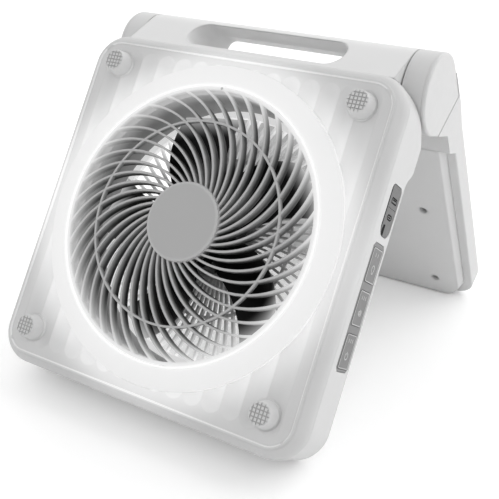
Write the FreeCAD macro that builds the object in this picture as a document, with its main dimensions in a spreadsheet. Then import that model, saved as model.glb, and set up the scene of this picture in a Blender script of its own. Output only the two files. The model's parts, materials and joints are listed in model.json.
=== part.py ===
import FreeCAD, Part
import math
import os
import Sketcher

# Solar fan: a square box fan that leans back on its folding solar panel.
# Every piece is drawn with the fan upright and the panel closed against it:
# x to the right, y from the front face to the rear, z up, origin on the fan axis.
# The placements at the end lean the fan back and swing the panel out.

V = FreeCAD.Vector
doc = FreeCAD.newDocument("solar_fan")
sheet = doc.addObject("Spreadsheet::Sheet", "sizes")

numbers = {
    # outer box
    "body_width": "260",
    "body_low": "132",
    "body_high": "130",
    "corner_round": "25",
    "bezel_depth": "12.5",
    "body_depth": "48",
    "shoulder_round": "11",
    "standing_round": "5",
    "wall": "2.5",
    "slip": "0.3",
    "running_fit": "0.05",
    # bezel face
    "face_thick": "4",
    "face_sunk": "0.8",
    "bezel_side": "6",
    "rim_inset": "6.3",
    "rim_width": "2.4",
    "rim_height": "0.3",
    "rim_soft": "0.8",
    "flute_count": "15",
    "flute_pitch": "15.1",
    "flute_width": "14.9",
    "flute_depth": "1.8",
    "flute_reach": "109.5",
    # feet
    "foot_across": "101",
    "foot_up": "104.7",
    "foot_base": "9.4",
    "foot_face": "7.7",
    "foot_height": "9.6",
    "foot_edge": "0.8",
    "foot_stem": "3",
    "foot_stem_length": "6",
    "foot_seat": "10.2",
    "tread_pitch": "2.7",
    "tread_width": "0.8",
    "tread_depth": "0.6",
    # light ring and its board
    "ring_bore": "100",
    "ring_lip": "1.8",
    "ring_outer": "116.5",
    "ring_rise": "4.6",
    "ring_edge": "0.6",
    "ring_flange": "3",
    "ring_thick": "1.5",
    "ring_sleeve": "2",
    "led_inner": "104",
    "led_outer": "117.5",
    "led_thick": "1.6",
    "led_count": "30",
    "led_chip": "3",
    "led_chip_rise": "0.9",
    # duct
    "duct_radius": "98",
    "duct_front": "6",
    "duct_flange_front": "9.5",
    "duct_flange_thick": "2",
    "duct_flange_radius": "119",
    # front grille
    "hub_radius": "28.5",
    "hub_front": "5.5",
    "hub_back": "1",
    "hub_cap_thick": "2",
    "hub_cap_edge": "1.2",
    "vane_count": "39",
    "vane_curve": "66",
    "vane_centre": "56",
    "vane_thick": "1.6",
    "vane_back": "2.2",
    "grille_edge": "4",
    "grille_rim": "2.5",
    "mid_ring": "73.5",
    "mid_ring_width": "1.6",
    "mid_ring_depth": "3.4",
    # rear grille
    "rear_open": "96",
    "rear_lip": "1.6",
    "rear_lip_thick": "2",
    "rear_rim": "3",
    "rib_count": "72",
    "rib_thick": "1.7",
    "rib_depth": "3.5",
    "rib_curve": "240",
    "rib_centre": "238",
    "rear_ring": "60",
    "rear_ring_width": "2.4",
    "motor_plate": "31",
    "motor_plate_thick": "4",
    # motor and impeller
    "motor_radius": "21",
    "motor_length": "19",
    "bearing_radius": "5",
    "bearing_length": "5",
    "shaft_radius": "2",
    "shaft_length": "34",
    "shaft_front": "9.5",
    "motor_screw_circle": "13",
    "impeller_front": "13",
    "impeller_wall": "2.5",
    "impeller_hub": "30",
    "impeller_skirt": "22",
    "impeller_tip": "87",
    "blade_count": "5",
    "blade_start": "42",
    "blade_thick": "2",
    "blade_front": "16",
    "blade_back": "32",
    "blade_root": "14",
    "blade_middle": "20",
    "blade_end": "22",
    "blade_camber": "5",
    "blade_sweep": "20",
    "nut_radius": "5",
    "nut_length": "3",
    # right wall: buttons and sockets
    "strip_front": "19.6",
    "strip_width": "21.4",
    "strip_low": "65",
    "strip_high": "22.8",
    "strip_chamfer": "3",
    "strip_flange": "2.5",
    "strip_flange_thick": "1.4",
    "button_pitch": "29.5",
    "button_middle": "21.6",
    "button_length": "23.4",
    "button_width": "17.4",
    "button_round": "1.6",
    "button_proud": "0.3",
    "button_flange": "1.2",
    "button_travel": "1",
    "button_stem": "1.5",
    "button_stem_length": "1",
    "button_gap": "0.35",
    "switch_width": "6",
    "switch_height": "3.5",
    "board_thick": "1.6",
    "board_front": "18",
    "board_width": "24",
    "board_low": "78",
    "board_high": "74",
    "board_post": "3",
    "board_post_edge": "5",
    "cover_front": "22",
    "cover_width": "19",
    "cover_low": "28.4",
    "cover_length": "35.2",
    "cover_thick": "2",
    "cover_top_round": "4",
    "cover_low_round": "7",
    "cover_gap": "0.45",
    "cover_sunk": "0.2",
    "cover_groove": "1.8",
    "cover_groove_depth": "0.9",
    "cover_notch_front": "26",
    "cover_notch_width": "3.5",
    "cover_notch_length": "7.6",
    "cover_pin": "0.7",
    "cover_pin_length": "24",
    "cover_pin_edge": "5.4",
    "socket_width": "13",
    "socket_length": "26",
    "socket_a_length": "12.6",
    "socket_a_width": "5.4",
    "socket_c_length": "9",
    "socket_c_width": "3.2",
    "socket_depth": "6",
    # left wall: speaker
    "speaker_radius": "14",
    "speaker_depth": "16",
    "speaker_magnet": "9",
    "speaker_rim": "2",
    "sound_slot_count": "7",
    "sound_slot_pitch": "4",
    "sound_slot_width": "1.6",
    "sound_slot_length": "20",
    # handle and hinge
    "axis_back": "54.4",
    "axis_up": "137.4",
    "barrel_radius": "29.2",
    "handle_half": "112",
    "slot_half": "66",
    "slot_floor": "4",
    "slot_height": "23.5",
    "slot_lift": "5.5",
    "pin_radius": "6",
    "pin_grip": "14",
    "washer_gap": "1",
    "washer_thick": "0.8",
    "washer_radius": "16",
    "knuckle_clear": "1.2",
    "cap_thick": "3",
    "cap_edge": "1.5",
    "cap_drop": "28.7",
    "bulge_reach": "7.8",
    "bulge_foot": "65",
    "bulge_low": "80",
    "bulge_top_gap": "3.4",
    # solar panel
    "panel_width": "263",
    "panel_rim": "11.9",
    "panel_outer": "31",
    "panel_reach": "268",
    "panel_top": "33",
    "panel_corner": "20",
    "panel_rim_round": "1.2",
    "panel_edge": "3",
    "panel_floor": "4",
    "arm_inner": "1.9",
    "arm_reach": "62",
    "cavity_inset": "12.5",
    "cavity_low": "250",
    "cavity_high": "78",
    "tray_inset": "9.5",
    "tray_low": "260",
    "tray_draft": "2.5",
    "tray_corner": "17",
    "tray_wall": "2.5",
    "tray_screw_across": "101",
    "tray_screw_high_across": "60",
    "tray_screw_high": "86",
    "tray_screw_middle": "140",
    "tray_screw_low": "238",
    "boss_radius": "5",
    "boss_reach": "7.6",
    "laminate_inset": "9",
    "laminate_low": "258.5",
    "laminate_high": "42",
    "laminate_thick": "2",
    "laminate_sunk": "0.2",
    "laminate_corner": "10",
    "cell_radius": "9.1",
    "cell_length": "65",
    "cell_space": "3",
    "cell_height": "10.4",
    "cell_row_high": "120",
    "cell_row_low": "141",
    "holder_height": "6",
    "holder_wall": "3",
    "charge_width": "90",
    "charge_height": "36",
    "charge_middle": "200",
    "charge_thick": "1.6",
    "charge_post": "4",
    "charge_post_height": "8",
    # fasteners
    "screw_radius": "1.5",
    "screw_head": "3",
    "screw_head_height": "2.4",
    "screw_well": "3.5",
    "screw_tip": "7",
    "post_radius": "5",
    "case_screw_low_across": "112",
    "case_screw_low": "114",
    "case_screw_high_across": "116",
    "case_screw_high": "88",
    "case_screw_seat": "27",
    "handle_screw_inner": "80",
    "handle_screw_outer": "100",
    "handle_screw_back": "30",
    "handle_screw_reach": "8",
    # pose
    "open_angle": "64.4",
}
for row, (name, number) in enumerate(numbers.items(), 1):
    sheet.set("A%d" % row, name)
    sheet.set("B%d" % row, number)
    sheet.setAlias("B%d" % row, name)
doc.recompute()


class Size:
    """A length that carries its number and the sheet expression that gives it."""

    def __init__(self, value, text):
        self.value = value
        self.text = text

    def __add__(self, other):
        other = as_size(other)
        return Size(self.value + other.value, "(%s + %s)" % (self.text, other.text))

    def __sub__(self, other):
        other = as_size(other)
        return Size(self.value - other.value, "(%s - %s)" % (self.text, other.text))

    def __mul__(self, other):
        other = as_size(other)
        return Size(self.value * other.value, "(%s * %s)" % (self.text, other.text))

    def __truediv__(self, other):
        other = as_size(other)
        return Size(self.value / other.value, "(%s / %s)" % (self.text, other.text))

    def __neg__(self):
        return Size(-self.value, "(0 - %s)" % self.text)

    def __radd__(self, other):
        return as_size(other) + self

    def __rsub__(self, other):
        return as_size(other) - self

    def __rmul__(self, other):
        return as_size(other) * self


def as_size(number):
    if isinstance(number, Size):
        return number
    return Size(float(number), "(%.9g)" % number)


def root(number):
    return Size(math.sqrt(number.value), "sqrt(%s)" % number.text)


def cosine(angle):
    return Size(math.cos(math.radians(angle.value)), "cos(%s)" % angle.text)


def sine(angle):
    return Size(math.sin(math.radians(angle.value)), "sin(%s)" % angle.text)


class Sheet:
    """Reads a named size back from the sheet."""

    def __getattr__(self, name):
        return Size(float(sheet.get(name)), "sizes.%s" % name)


d = Sheet()
zero = as_size(0)


# Sketches

def new_body(label):
    body = doc.addObject("PartDesign::Body", label)
    body.Label = label
    body.AllowCompound = True
    return body


def sketch(body, role, name, offset):
    drawing = body.newObject("Sketcher::SketchObject", name)
    plane = [f for f in body.Origin.OriginFeatures if f.Role == role][0]
    drawing.AttachmentSupport = [(plane, "")]
    drawing.MapMode = "FlatFace"
    drawing.AttachmentOffset = FreeCAD.Placement(V(0, 0, offset.value), FreeCAD.Rotation())
    drawing.setExpression("AttachmentOffset.Base.z", offset.text)
    return drawing


def front_sketch(body, name, back):
    """Drawn as seen from the front, at a distance behind the front face."""
    return sketch(body, "XZ_Plane", name, -as_size(back))


def side_sketch(body, name, across):
    """Drawn from the side as (back, up), at a distance to the right of the middle."""
    return sketch(body, "YZ_Plane", name, as_size(across))


def top_sketch(body, name, up):
    """Drawn from above as (across, back), at a height over the fan axis."""
    return sketch(body, "XY_Plane", name, as_size(up))


def fix(drawing, kind, place, target):
    target = as_size(target)
    index = drawing.addConstraint(Sketcher.Constraint(kind, *place, target.value))
    drawing.setExpression("Constraints[%d]" % index, target.text)


def pin(drawing, edge, end, point):
    fix(drawing, "DistanceX", (-1, 1, edge, end), point[0])
    fix(drawing, "DistanceY", (-1, 1, edge, end), point[1])


def join(drawing, edge, end, other, other_end):
    drawing.addConstraint(Sketcher.Constraint("Coincident", edge, end, other, other_end))


def spot(point):
    return V(as_size(point[0]).value, as_size(point[1]).value, 0)


def line(drawing, start, end):
    return drawing.addGeometry(Part.LineSegment(spot(start), spot(end)), False)


def polygon(drawing, points):
    edges = []
    for number, point in enumerate(points):
        edges.append(line(drawing, point, points[(number + 1) % len(points)]))
    for number, edge in enumerate(edges):
        join(drawing, edge, 2, edges[(number + 1) % len(edges)], 1)
        pin(drawing, edge, 1, points[number])
    return drawing


def circle(drawing, centre, radius):
    round_edge = Part.Circle(spot(centre), V(0, 0, 1), as_size(radius).value)
    edge = drawing.addGeometry(round_edge, False)
    fix(drawing, "Radius", (edge,), radius)
    pin(drawing, edge, 3, centre)
    return drawing


def arc(drawing, centre, radius, start, end):
    """An arc that runs anticlockwise from one angle to the other, in radians."""
    whole = Part.Circle(spot(centre), V(0, 0, 1), as_size(radius).value)
    edge = drawing.addGeometry(Part.ArcOfCircle(whole, start, end), False)
    fix(drawing, "Radius", (edge,), radius)
    return edge


def rounded_box(drawing, left, right, low, high, radius, top_radius=None):
    """A box with rounded corners: the upper two have their own radius if one is given, or none if it is zero."""
    left, right, low, high = [as_size(side) for side in (left, right, low, high)]
    top = radius if top_radius is None else top_radius
    ends = [(left + radius, low), (right - radius, low), (right, low + radius), (right, high - top),
            (right - top, high), (left + top, high), (left, high - top), (left, low + radius)]
    centres = [(right - radius, low + radius), (right - top, high - top),
               (left + top, high - top), (left + radius, low + radius)]
    bends = [radius, top, top, radius]
    sides = []
    for number in range(4):
        edge = line(drawing, ends[2 * number], ends[2 * number + 1])
        pin(drawing, edge, 1, ends[2 * number])
        pin(drawing, edge, 2, ends[2 * number + 1])
        sides.append(edge)
    for number in range(4):
        if bends[number] is zero:
            continue
        turn = (number - 1) * math.pi / 2
        bend = arc(drawing, centres[number], bends[number], turn, turn + math.pi / 2)
        join(drawing, bend, 1, sides[number], 2)
        join(drawing, bend, 2, sides[(number + 1) % 4], 1)
    return drawing


def box(drawing, left, right, low, high):
    return polygon(drawing, [(left, low), (right, low), (right, high), (left, high)])


# Features

def feature(body, kind, name, drawing):
    made = body.newObject("PartDesign::" + kind, name)
    made.Profile = drawing
    drawing.Visibility = False
    body.Tip = made
    return made


def length(made, target):
    target = as_size(target)
    made.Length = target.value
    made.setExpression("Length", target.text)


def pad(body, drawing, target, turned=False):
    """A front sketch is padded to the rear when turned, a side sketch to the right when not."""
    made = feature(body, "Pad", drawing.Name + "_pad", drawing)
    length(made, target)
    made.Reversed = turned
    return made


def pocket(body, drawing, target, turned=False):
    """A front sketch cuts to the rear and a side sketch to the left, or the other way when turned."""
    doc.recompute()
    before = body.Shape.Volume
    made = feature(body, "Pocket", drawing.Name + "_cut", drawing)
    length(made, target)
    made.Reversed = turned
    doc.recompute()
    if body.Shape.Volume > before - 1e-6:
        raise ValueError("nothing cut by " + drawing.Name)
    return made


def revolve(body, drawing, kind="Revolution"):
    """Turns a side sketch, drawn as (back, radius), about the fan axis."""
    made = feature(body, kind, drawing.Name + "_turn", drawing)
    made.ReferenceAxis = (drawing, ["H_Axis"])
    made.Angle = 360
    return made


def around(body, original, drawing, count):
    made = body.newObject("PartDesign::PolarPattern", original.Name + "_round")
    made.Originals = [original]
    made.Axis = (drawing, ["N_Axis"])
    made.Angle = 360
    made.Occurrences = int(round(count.value))
    made.setExpression("Occurrences", count.text)
    body.Tip = made
    return made


def soften(body, radius, test, kind="Fillet"):
    """Rounds the edges of the body that pass the test."""
    doc.recompute()
    base = body.Tip
    names = ["Edge%d" % (i + 1) for i, edge in enumerate(base.Shape.Edges) if test(edge)]
    made = body.newObject("PartDesign::" + kind, base.Name + "_soft")
    made.Base = (base, names)
    prop = "Radius" if kind == "Fillet" else "Size"
    setattr(made, prop, radius.value)
    made.setExpression(prop, radius.text)
    body.Tip = made
    return made


def lies_at(edge, back=None, across=None, up=None):
    """True when the whole edge lies at the given distances."""
    box_of = edge.BoundBox
    near = 1e-4
    for target, low, high in ((back, box_of.YMin, box_of.YMax), (across, box_of.XMin, box_of.XMax),
                              (up, box_of.ZMin, box_of.ZMax)):
        if target is not None:
            if abs(low - target.value) > near or abs(high - target.value) > near:
                return False
    return True


def spiral_gap(drawing, inner, outer, curve, centre, thick, count, side):
    """The space between two neighbouring curved vanes, bounded by the inner and outer circles."""
    step = as_size(360) / count
    first = as_size(90) - step / 2
    second = first + step
    flip = as_size(side)

    def reach(radius, bend):
        near = (radius.value ** 2 + centre.value ** 2 - bend.value ** 2) / (2 * radius.value * centre.value)
        return math.acos(near)

    def meet(radius, bend, turn):
        angle = math.radians(turn.value) - reach(radius, bend)
        return V(side * radius.value * math.cos(angle), radius.value * math.sin(angle), 0)

    def bow(turn, bend):
        hub = V(side * centre.value * math.cos(math.radians(turn.value)),
                centre.value * math.sin(math.radians(turn.value)), 0)
        ends = [meet(inner, bend, turn) - hub, meet(outer, bend, turn) - hub]
        angles = [math.atan2(end.y, end.x) for end in ends]
        if side < 0:
            angles.reverse()
        if angles[1] < angles[0]:
            angles[1] += 2 * math.pi
        edge = arc(drawing, (hub.x, hub.y), bend, angles[0], angles[1])
        pin(drawing, edge, 3, (flip * centre * cosine(turn), centre * sine(turn)))
        return edge

    def rim(radius, low_bend, high_bend):
        ends = [meet(radius, low_bend, first), meet(radius, high_bend, second)]
        angles = [math.atan2(end.y, end.x) for end in ends]
        if side < 0:
            angles.reverse()
        if angles[1] < angles[0]:
            angles[1] += 2 * math.pi
        edge = arc(drawing, (0, 0), radius, angles[0], angles[1])
        join(drawing, edge, 3, -1, 1)
        return edge

    inside = curve - thick / 2
    outside = curve + thick / 2
    near_bow = bow(first, inside)
    far_bow = bow(second, outside)
    low_rim = rim(inner, inside, outside)
    high_rim = rim(outer, inside, outside)
    start, end = (1, 2) if side > 0 else (2, 1)
    join(drawing, near_bow, end, high_rim, start)
    join(drawing, high_rim, end, far_bow, end)
    join(drawing, far_bow, start, low_rim, end)
    join(drawing, low_rim, start, near_bow, start)
    return drawing


# Places used by more than one piece

half_width = d.body_width / 2
left_side = -half_width
right_side = half_width
inner_right = half_width - d.wall
rear_inside = d.body_depth - d.wall
bezel_inside = d.face_thick
screw_hole = d.screw_radius + d.slip
case_screws = [(side * across, up) for side in (-1, 1)
               for across, up in ((d.case_screw_low_across, -d.case_screw_low),
                                  (d.case_screw_high_across, d.case_screw_high))]
handle_screws = [(side * across, d.handle_screw_back) for side in (-1, 1)
                 for across in (d.handle_screw_inner, d.handle_screw_outer)]
strip_back = d.strip_front + d.strip_width
strip_middle = d.strip_front + d.strip_width / 2
button_ups = [(-d.button_middle + d.button_pitch), -d.button_middle, (-d.button_middle - d.button_pitch)]
strip_inside = inner_right - d.strip_flange_thick
stem_end = strip_inside - d.slip - d.button_flange - d.button_stem_length
board_outside = stem_end - d.button_travel - d.slip - d.switch_height
board_inside = board_outside - d.board_thick
board_screws = [(d.board_front + d.board_width / 2, d.board_post_edge - d.board_low),
                (d.board_front + d.board_width / 2, d.board_high - d.board_post_edge)]
cover_back = d.cover_front + d.cover_width
cover_middle = d.cover_front + d.cover_width / 2
cover_high = d.cover_low + d.cover_length
cover_outside = right_side - d.cover_sunk
cover_inside = cover_outside - d.cover_thick
cover_axis = (cover_outside - d.cover_thick / 2, cover_high - d.cover_pin_edge)
knuckle_start = d.handle_half + d.washer_gap
panel_half = d.panel_width / 2
cap_inside = panel_half - d.cap_thick
rim_face = d.axis_back + d.panel_rim
outer_face = d.axis_back + d.panel_outer
panel_bottom = d.axis_up - d.panel_reach
cavity_floor = outer_face - d.panel_floor
tray_face = d.axis_back + d.arm_inner
tray_top = d.axis_up - d.arm_reach - d.running_fit
tray_half = panel_half - d.tray_inset
tray_screws = [(side * across, d.axis_up - drop) for side in (-1, 1)
               for across, drop in ((d.tray_screw_high_across, d.tray_screw_high),
                                    (d.tray_screw_across, d.tray_screw_middle),
                                    (d.tray_screw_across, d.tray_screw_low))]
boss_meet = rim_face + d.boss_reach
tray_seat = rim_face - 1
cell_back = cavity_floor - d.cell_height
cell_ups = [d.axis_up - d.cell_row_high, d.axis_up - d.cell_row_low]
charge_posts = [(side * (d.charge_width / 2 - d.charge_post), d.axis_up - d.charge_middle) for side in (-1, 1)]
charge_face = cavity_floor - d.charge_post_height


# Fan body

def front_bezel():
    body = new_body("front_bezel")
    outline = rounded_box(front_sketch(body, "bezel_outline", zero), left_side, right_side,
                          -d.body_low, d.body_high, d.corner_round)
    pad(body, outline, d.bezel_depth, True)
    soften(body, d.shoulder_round, lambda e: lies_at(e, back=zero))
    inset = d.bezel_side
    hollow = rounded_box(front_sketch(body, "bezel_hollow", d.bezel_depth), left_side + inset,
                         right_side - inset, inset - d.body_low, d.body_high - inset, d.corner_round - inset)
    pocket(body, hollow, d.bezel_depth - d.face_thick, True)
    far = d.rim_inset
    near = d.rim_inset + d.rim_width
    rim = front_sketch(body, "bezel_rim", -d.rim_height)
    rounded_box(rim, left_side + far, right_side - far, far - d.body_low, d.body_high - far,
                d.corner_round - far)
    rounded_box(rim, left_side + near, right_side - near, near - d.body_low, d.body_high - near,
                d.corner_round - near)
    pad(body, rim, d.rim_height + d.face_thick, True)
    sunk = rounded_box(front_sketch(body, "bezel_sunk_face", zero), left_side + near, right_side - near,
                       near - d.body_low, d.body_high - near, d.corner_round - near)
    pocket(body, sunk, d.face_sunk)
    soften(body, d.rim_soft, lambda e: lies_at(e, back=-d.rim_height))
    # scalloped flutes with round ends, each the cut of a long capsule lying along the face
    bend = d.flute_width * d.flute_width / (8 * d.flute_depth) + d.flute_depth / 2
    start = -d.flute_pitch * (d.flute_count - 1) / 2
    flute = side_sketch(body, "bezel_flute", start)
    axis = d.face_sunk + d.flute_depth - bend
    low = line(flute, (axis, -d.flute_reach - bend), (axis, d.flute_reach + bend))
    high = line(flute, (axis + bend, d.flute_reach), (axis + bend, -d.flute_reach))
    pin(flute, low, 1, (axis, -d.flute_reach - bend))
    pin(flute, low, 2, (axis, d.flute_reach + bend))
    pin(flute, high, 1, (axis + bend, d.flute_reach))
    pin(flute, high, 2, (axis + bend, -d.flute_reach))
    top = arc(flute, (axis, d.flute_reach), bend, 0, math.pi / 2)
    join(flute, top, 1, high, 1)
    join(flute, top, 2, low, 2)
    bottom = arc(flute, (axis, -d.flute_reach), bend, -math.pi / 2, 0)
    join(flute, bottom, 1, low, 1)
    join(flute, bottom, 2, high, 2)
    cut = feature(body, "Groove", "bezel_flute_cut", flute)
    cut.ReferenceAxis = (flute, ["Edge1"])
    cut.Angle = 360
    row = body.newObject("PartDesign::LinearPattern", "bezel_flutes")
    row.Originals = [cut]
    row.Direction = (flute, ["N_Axis"])
    row.Length = (d.flute_pitch * (d.flute_count - 1)).value
    row.setExpression("Length", (d.flute_pitch * (d.flute_count - 1)).text)
    row.Occurrences = int(d.flute_count.value)
    row.setExpression("Occurrences", d.flute_count.text)
    body.Tip = row
    spots = [(side * d.foot_across, rise * d.foot_up) for side in (-1, 1) for rise in (-1, 1)]
    seats = front_sketch(body, "bezel_foot_seats", zero)
    for place in spots:
        circle(seats, place, d.foot_seat)
    pad(body, seats, d.face_thick, True)
    posts = front_sketch(body, "bezel_posts", bezel_inside - d.face_thick / 2)
    for place in case_screws:
        circle(posts, place, d.post_radius)
    pad(body, posts, d.bezel_depth - d.face_thick / 2, True)
    pilots = front_sketch(body, "bezel_pilots", d.bezel_depth)
    for place in case_screws:
        circle(pilots, place, screw_hole)
    pocket(body, pilots, d.screw_tip + d.slip, True)
    opening = circle(front_sketch(body, "bezel_opening", -d.rim_height), (0, 0), d.ring_outer + d.slip)
    pocket(body, opening, d.bezel_depth + d.rim_height)
    holes = front_sketch(body, "bezel_foot_holes", zero)
    for place in spots:
        circle(holes, place, d.foot_stem + d.slip)
    pocket(body, holes, d.bezel_depth)
    return body


def foot(label):
    body = new_body(label)
    profile = polygon(side_sketch(body, label + "_side", zero),
                      [(-d.foot_height, 0), (-d.foot_height, d.foot_face), (0, d.foot_base),
                       (0, d.foot_stem), (d.foot_stem_length, d.foot_stem), (d.foot_stem_length, 0)])
    revolve(body, profile)
    soften(body, d.foot_edge, lambda e: lies_at(e, back=-d.foot_height))
    for way in (0, 1):
        grid = front_sketch(body, "%s_tread_%d" % (label, way), -d.foot_height)
        for number in (-2, -1, 0, 1, 2):
            low = number * d.tread_pitch - d.tread_width / 2
            high = number * d.tread_pitch + d.tread_width / 2
            reach = d.foot_face + d.foot_edge
            if way == 0:
                box(grid, low, high, -reach, reach)
            else:
                box(grid, -reach, reach, low, high)
        pocket(body, grid, d.tread_depth)
    return body


def light_ring():
    body = new_body("light_ring")
    seat = bezel_inside
    back = seat + d.ring_thick
    sleeve = d.ring_bore + d.ring_sleeve
    profile = polygon(side_sketch(body, "ring_side", zero),
                      [(-d.ring_rise, d.ring_bore), (-d.ring_rise, d.ring_bore + d.ring_lip),
                       (d.ring_edge - d.ring_rise, d.ring_bore + d.ring_lip),
                       (-d.ring_edge, d.ring_outer), (seat, d.ring_outer),
                       (seat, d.ring_outer + d.ring_flange), (back, d.ring_outer + d.ring_flange),
                       (back, sleeve), (d.duct_flange_front, sleeve), (d.duct_flange_front, d.ring_bore)])
    revolve(body, profile)
    return body


def led_board():
    body = new_body("led_board")
    front = d.duct_flange_front - d.led_thick
    profile = box(side_sketch(body, "led_side", zero), front, d.duct_flange_front, d.led_inner, d.led_outer)
    revolve(body, profile)
    middle = (d.led_inner + d.led_outer) / 2
    half = d.led_chip / 2
    chip = box(front_sketch(body, "led_chip", front), middle - half, middle + half, -half, half)
    around(body, pad(body, chip, d.led_chip_rise), chip, d.led_count)
    return body


def fan_duct():
    body = new_body("fan_duct")
    outer = d.ring_bore - d.slip
    flange_back = d.duct_flange_front + d.duct_flange_thick
    profile = polygon(side_sketch(body, "duct_side", zero),
                      [(d.duct_front, d.duct_radius), (rear_inside, d.duct_radius), (rear_inside, outer),
                       (flange_back, outer), (flange_back, d.duct_flange_radius),
                       (d.duct_flange_front, d.duct_flange_radius), (d.duct_flange_front, outer),
                       (d.duct_front, outer)])
    revolve(body, profile)
    return body


def front_grille():
    body = new_body("front_grille")
    outer = d.ring_bore - d.slip
    inner = outer - d.grille_rim
    profile = polygon(side_sketch(body, "grille_side", zero),
                      [(-d.hub_front, 0), (-d.hub_front, d.mid_ring), (-d.grille_edge, outer),
                       (d.duct_front, outer), (d.duct_front, inner), (d.vane_back, inner),
                       (d.vane_back, d.hub_radius), (d.hub_back, d.hub_radius), (d.hub_back, 0)])
    revolve(body, profile)
    gap = front_sketch(body, "grille_gap", -d.hub_front)
    spiral_gap(gap, d.hub_radius + d.slip, inner, d.vane_curve, d.vane_centre, d.vane_thick, d.vane_count, 1)
    cut = pocket(body, gap, d.hub_front + d.duct_front)
    around(body, cut, gap, d.vane_count)
    half = d.mid_ring_width / 2
    ring = box(side_sketch(body, "grille_mid_ring", zero), -d.hub_front, d.mid_ring_depth - d.hub_front,
               d.mid_ring - half, d.mid_ring + half)
    revolve(body, ring)
    return body


def hub_cap():
    body = new_body("hub_cap")
    disc = circle(front_sketch(body, "cap_disc", -d.hub_front), (0, 0), d.hub_radius)
    pad(body, disc, d.hub_cap_thick)
    front = -d.hub_front - d.hub_cap_thick
    soften(body, d.hub_cap_edge, lambda e: lies_at(e, back=front))
    return body


def knuckle_cut(body, side):
    """Clears the turning knuckle and the sloped chin of the arm at one end of the hinge."""
    clear = d.barrel_radius + d.knuckle_clear
    corner = clear / root(as_size(2))
    reach = d.panel_outer + d.panel_top
    name = "right" if side > 0 else "left"
    turn = circle(side_sketch(body, "housing_knuckle_" + name, side * d.handle_half),
                  (d.axis_back, d.axis_up), clear)
    pocket(body, turn, half_width, side > 0)
    chin = polygon(side_sketch(body, "housing_chin_" + name, side * d.handle_half),
                   [(d.axis_back, d.axis_up), (d.axis_back - corner, d.axis_up - corner),
                    (d.axis_back - corner + reach, d.axis_up - corner - reach),
                    (d.axis_back + reach, d.axis_up - corner - reach), (d.axis_back + reach, d.axis_up)])
    pocket(body, chin, half_width, side > 0)


def strip_outline(drawing, grow):
    low = -d.strip_low - grow
    high = d.strip_high + grow
    front = d.strip_front - grow
    back = strip_back + grow
    cut = d.strip_chamfer
    return polygon(drawing, [(front + cut, low), (back - cut, low), (back, low + cut), (back, high - cut),
                             (back - cut, high), (front + cut, high), (front, high - cut), (front, low + cut)])


def bulge_outline(drawing, top):
    """The rear wall swells out along two equal bends under the hinge."""
    back = d.body_depth + d.bulge_reach
    run = d.bulge_low - d.bulge_foot
    bend = (run * run + d.bulge_reach * d.bulge_reach) / (4 * d.bulge_reach)
    turn = math.asin(run.value / bend.value / 2)
    corners = [(d.body_depth, d.bulge_foot), (rear_inside, d.bulge_foot), (rear_inside, top), (back, top),
               (back, d.bulge_low)]
    edges = [line(drawing, start, end) for start, end in zip(corners, corners[1:])]
    for number, edge in enumerate(edges):
        pin(drawing, edge, 1, corners[number])
        if number:
            join(drawing, edges[number - 1], 2, edge, 1)
    pin(drawing, edges[-1], 2, corners[-1])
    low = arc(drawing, (d.body_depth + bend, d.bulge_foot), bend, math.pi - turn, math.pi)
    high = arc(drawing, (back - bend, d.bulge_low), bend, -turn, 0)
    join(drawing, low, 2, edges[0], 1)
    join(drawing, high, 2, edges[-1], 2)
    join(drawing, low, 1, high, 1)
    pin(drawing, low, 1, ((d.body_depth + back) / 2, (d.bulge_foot + d.bulge_low) / 2))
    return drawing


def cover_outline(drawing, grow):
    return rounded_box(drawing, d.cover_front - grow, cover_back + grow, d.cover_low - grow, cover_high + grow,
                       d.cover_low_round + grow, d.cover_top_round + grow)


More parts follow.
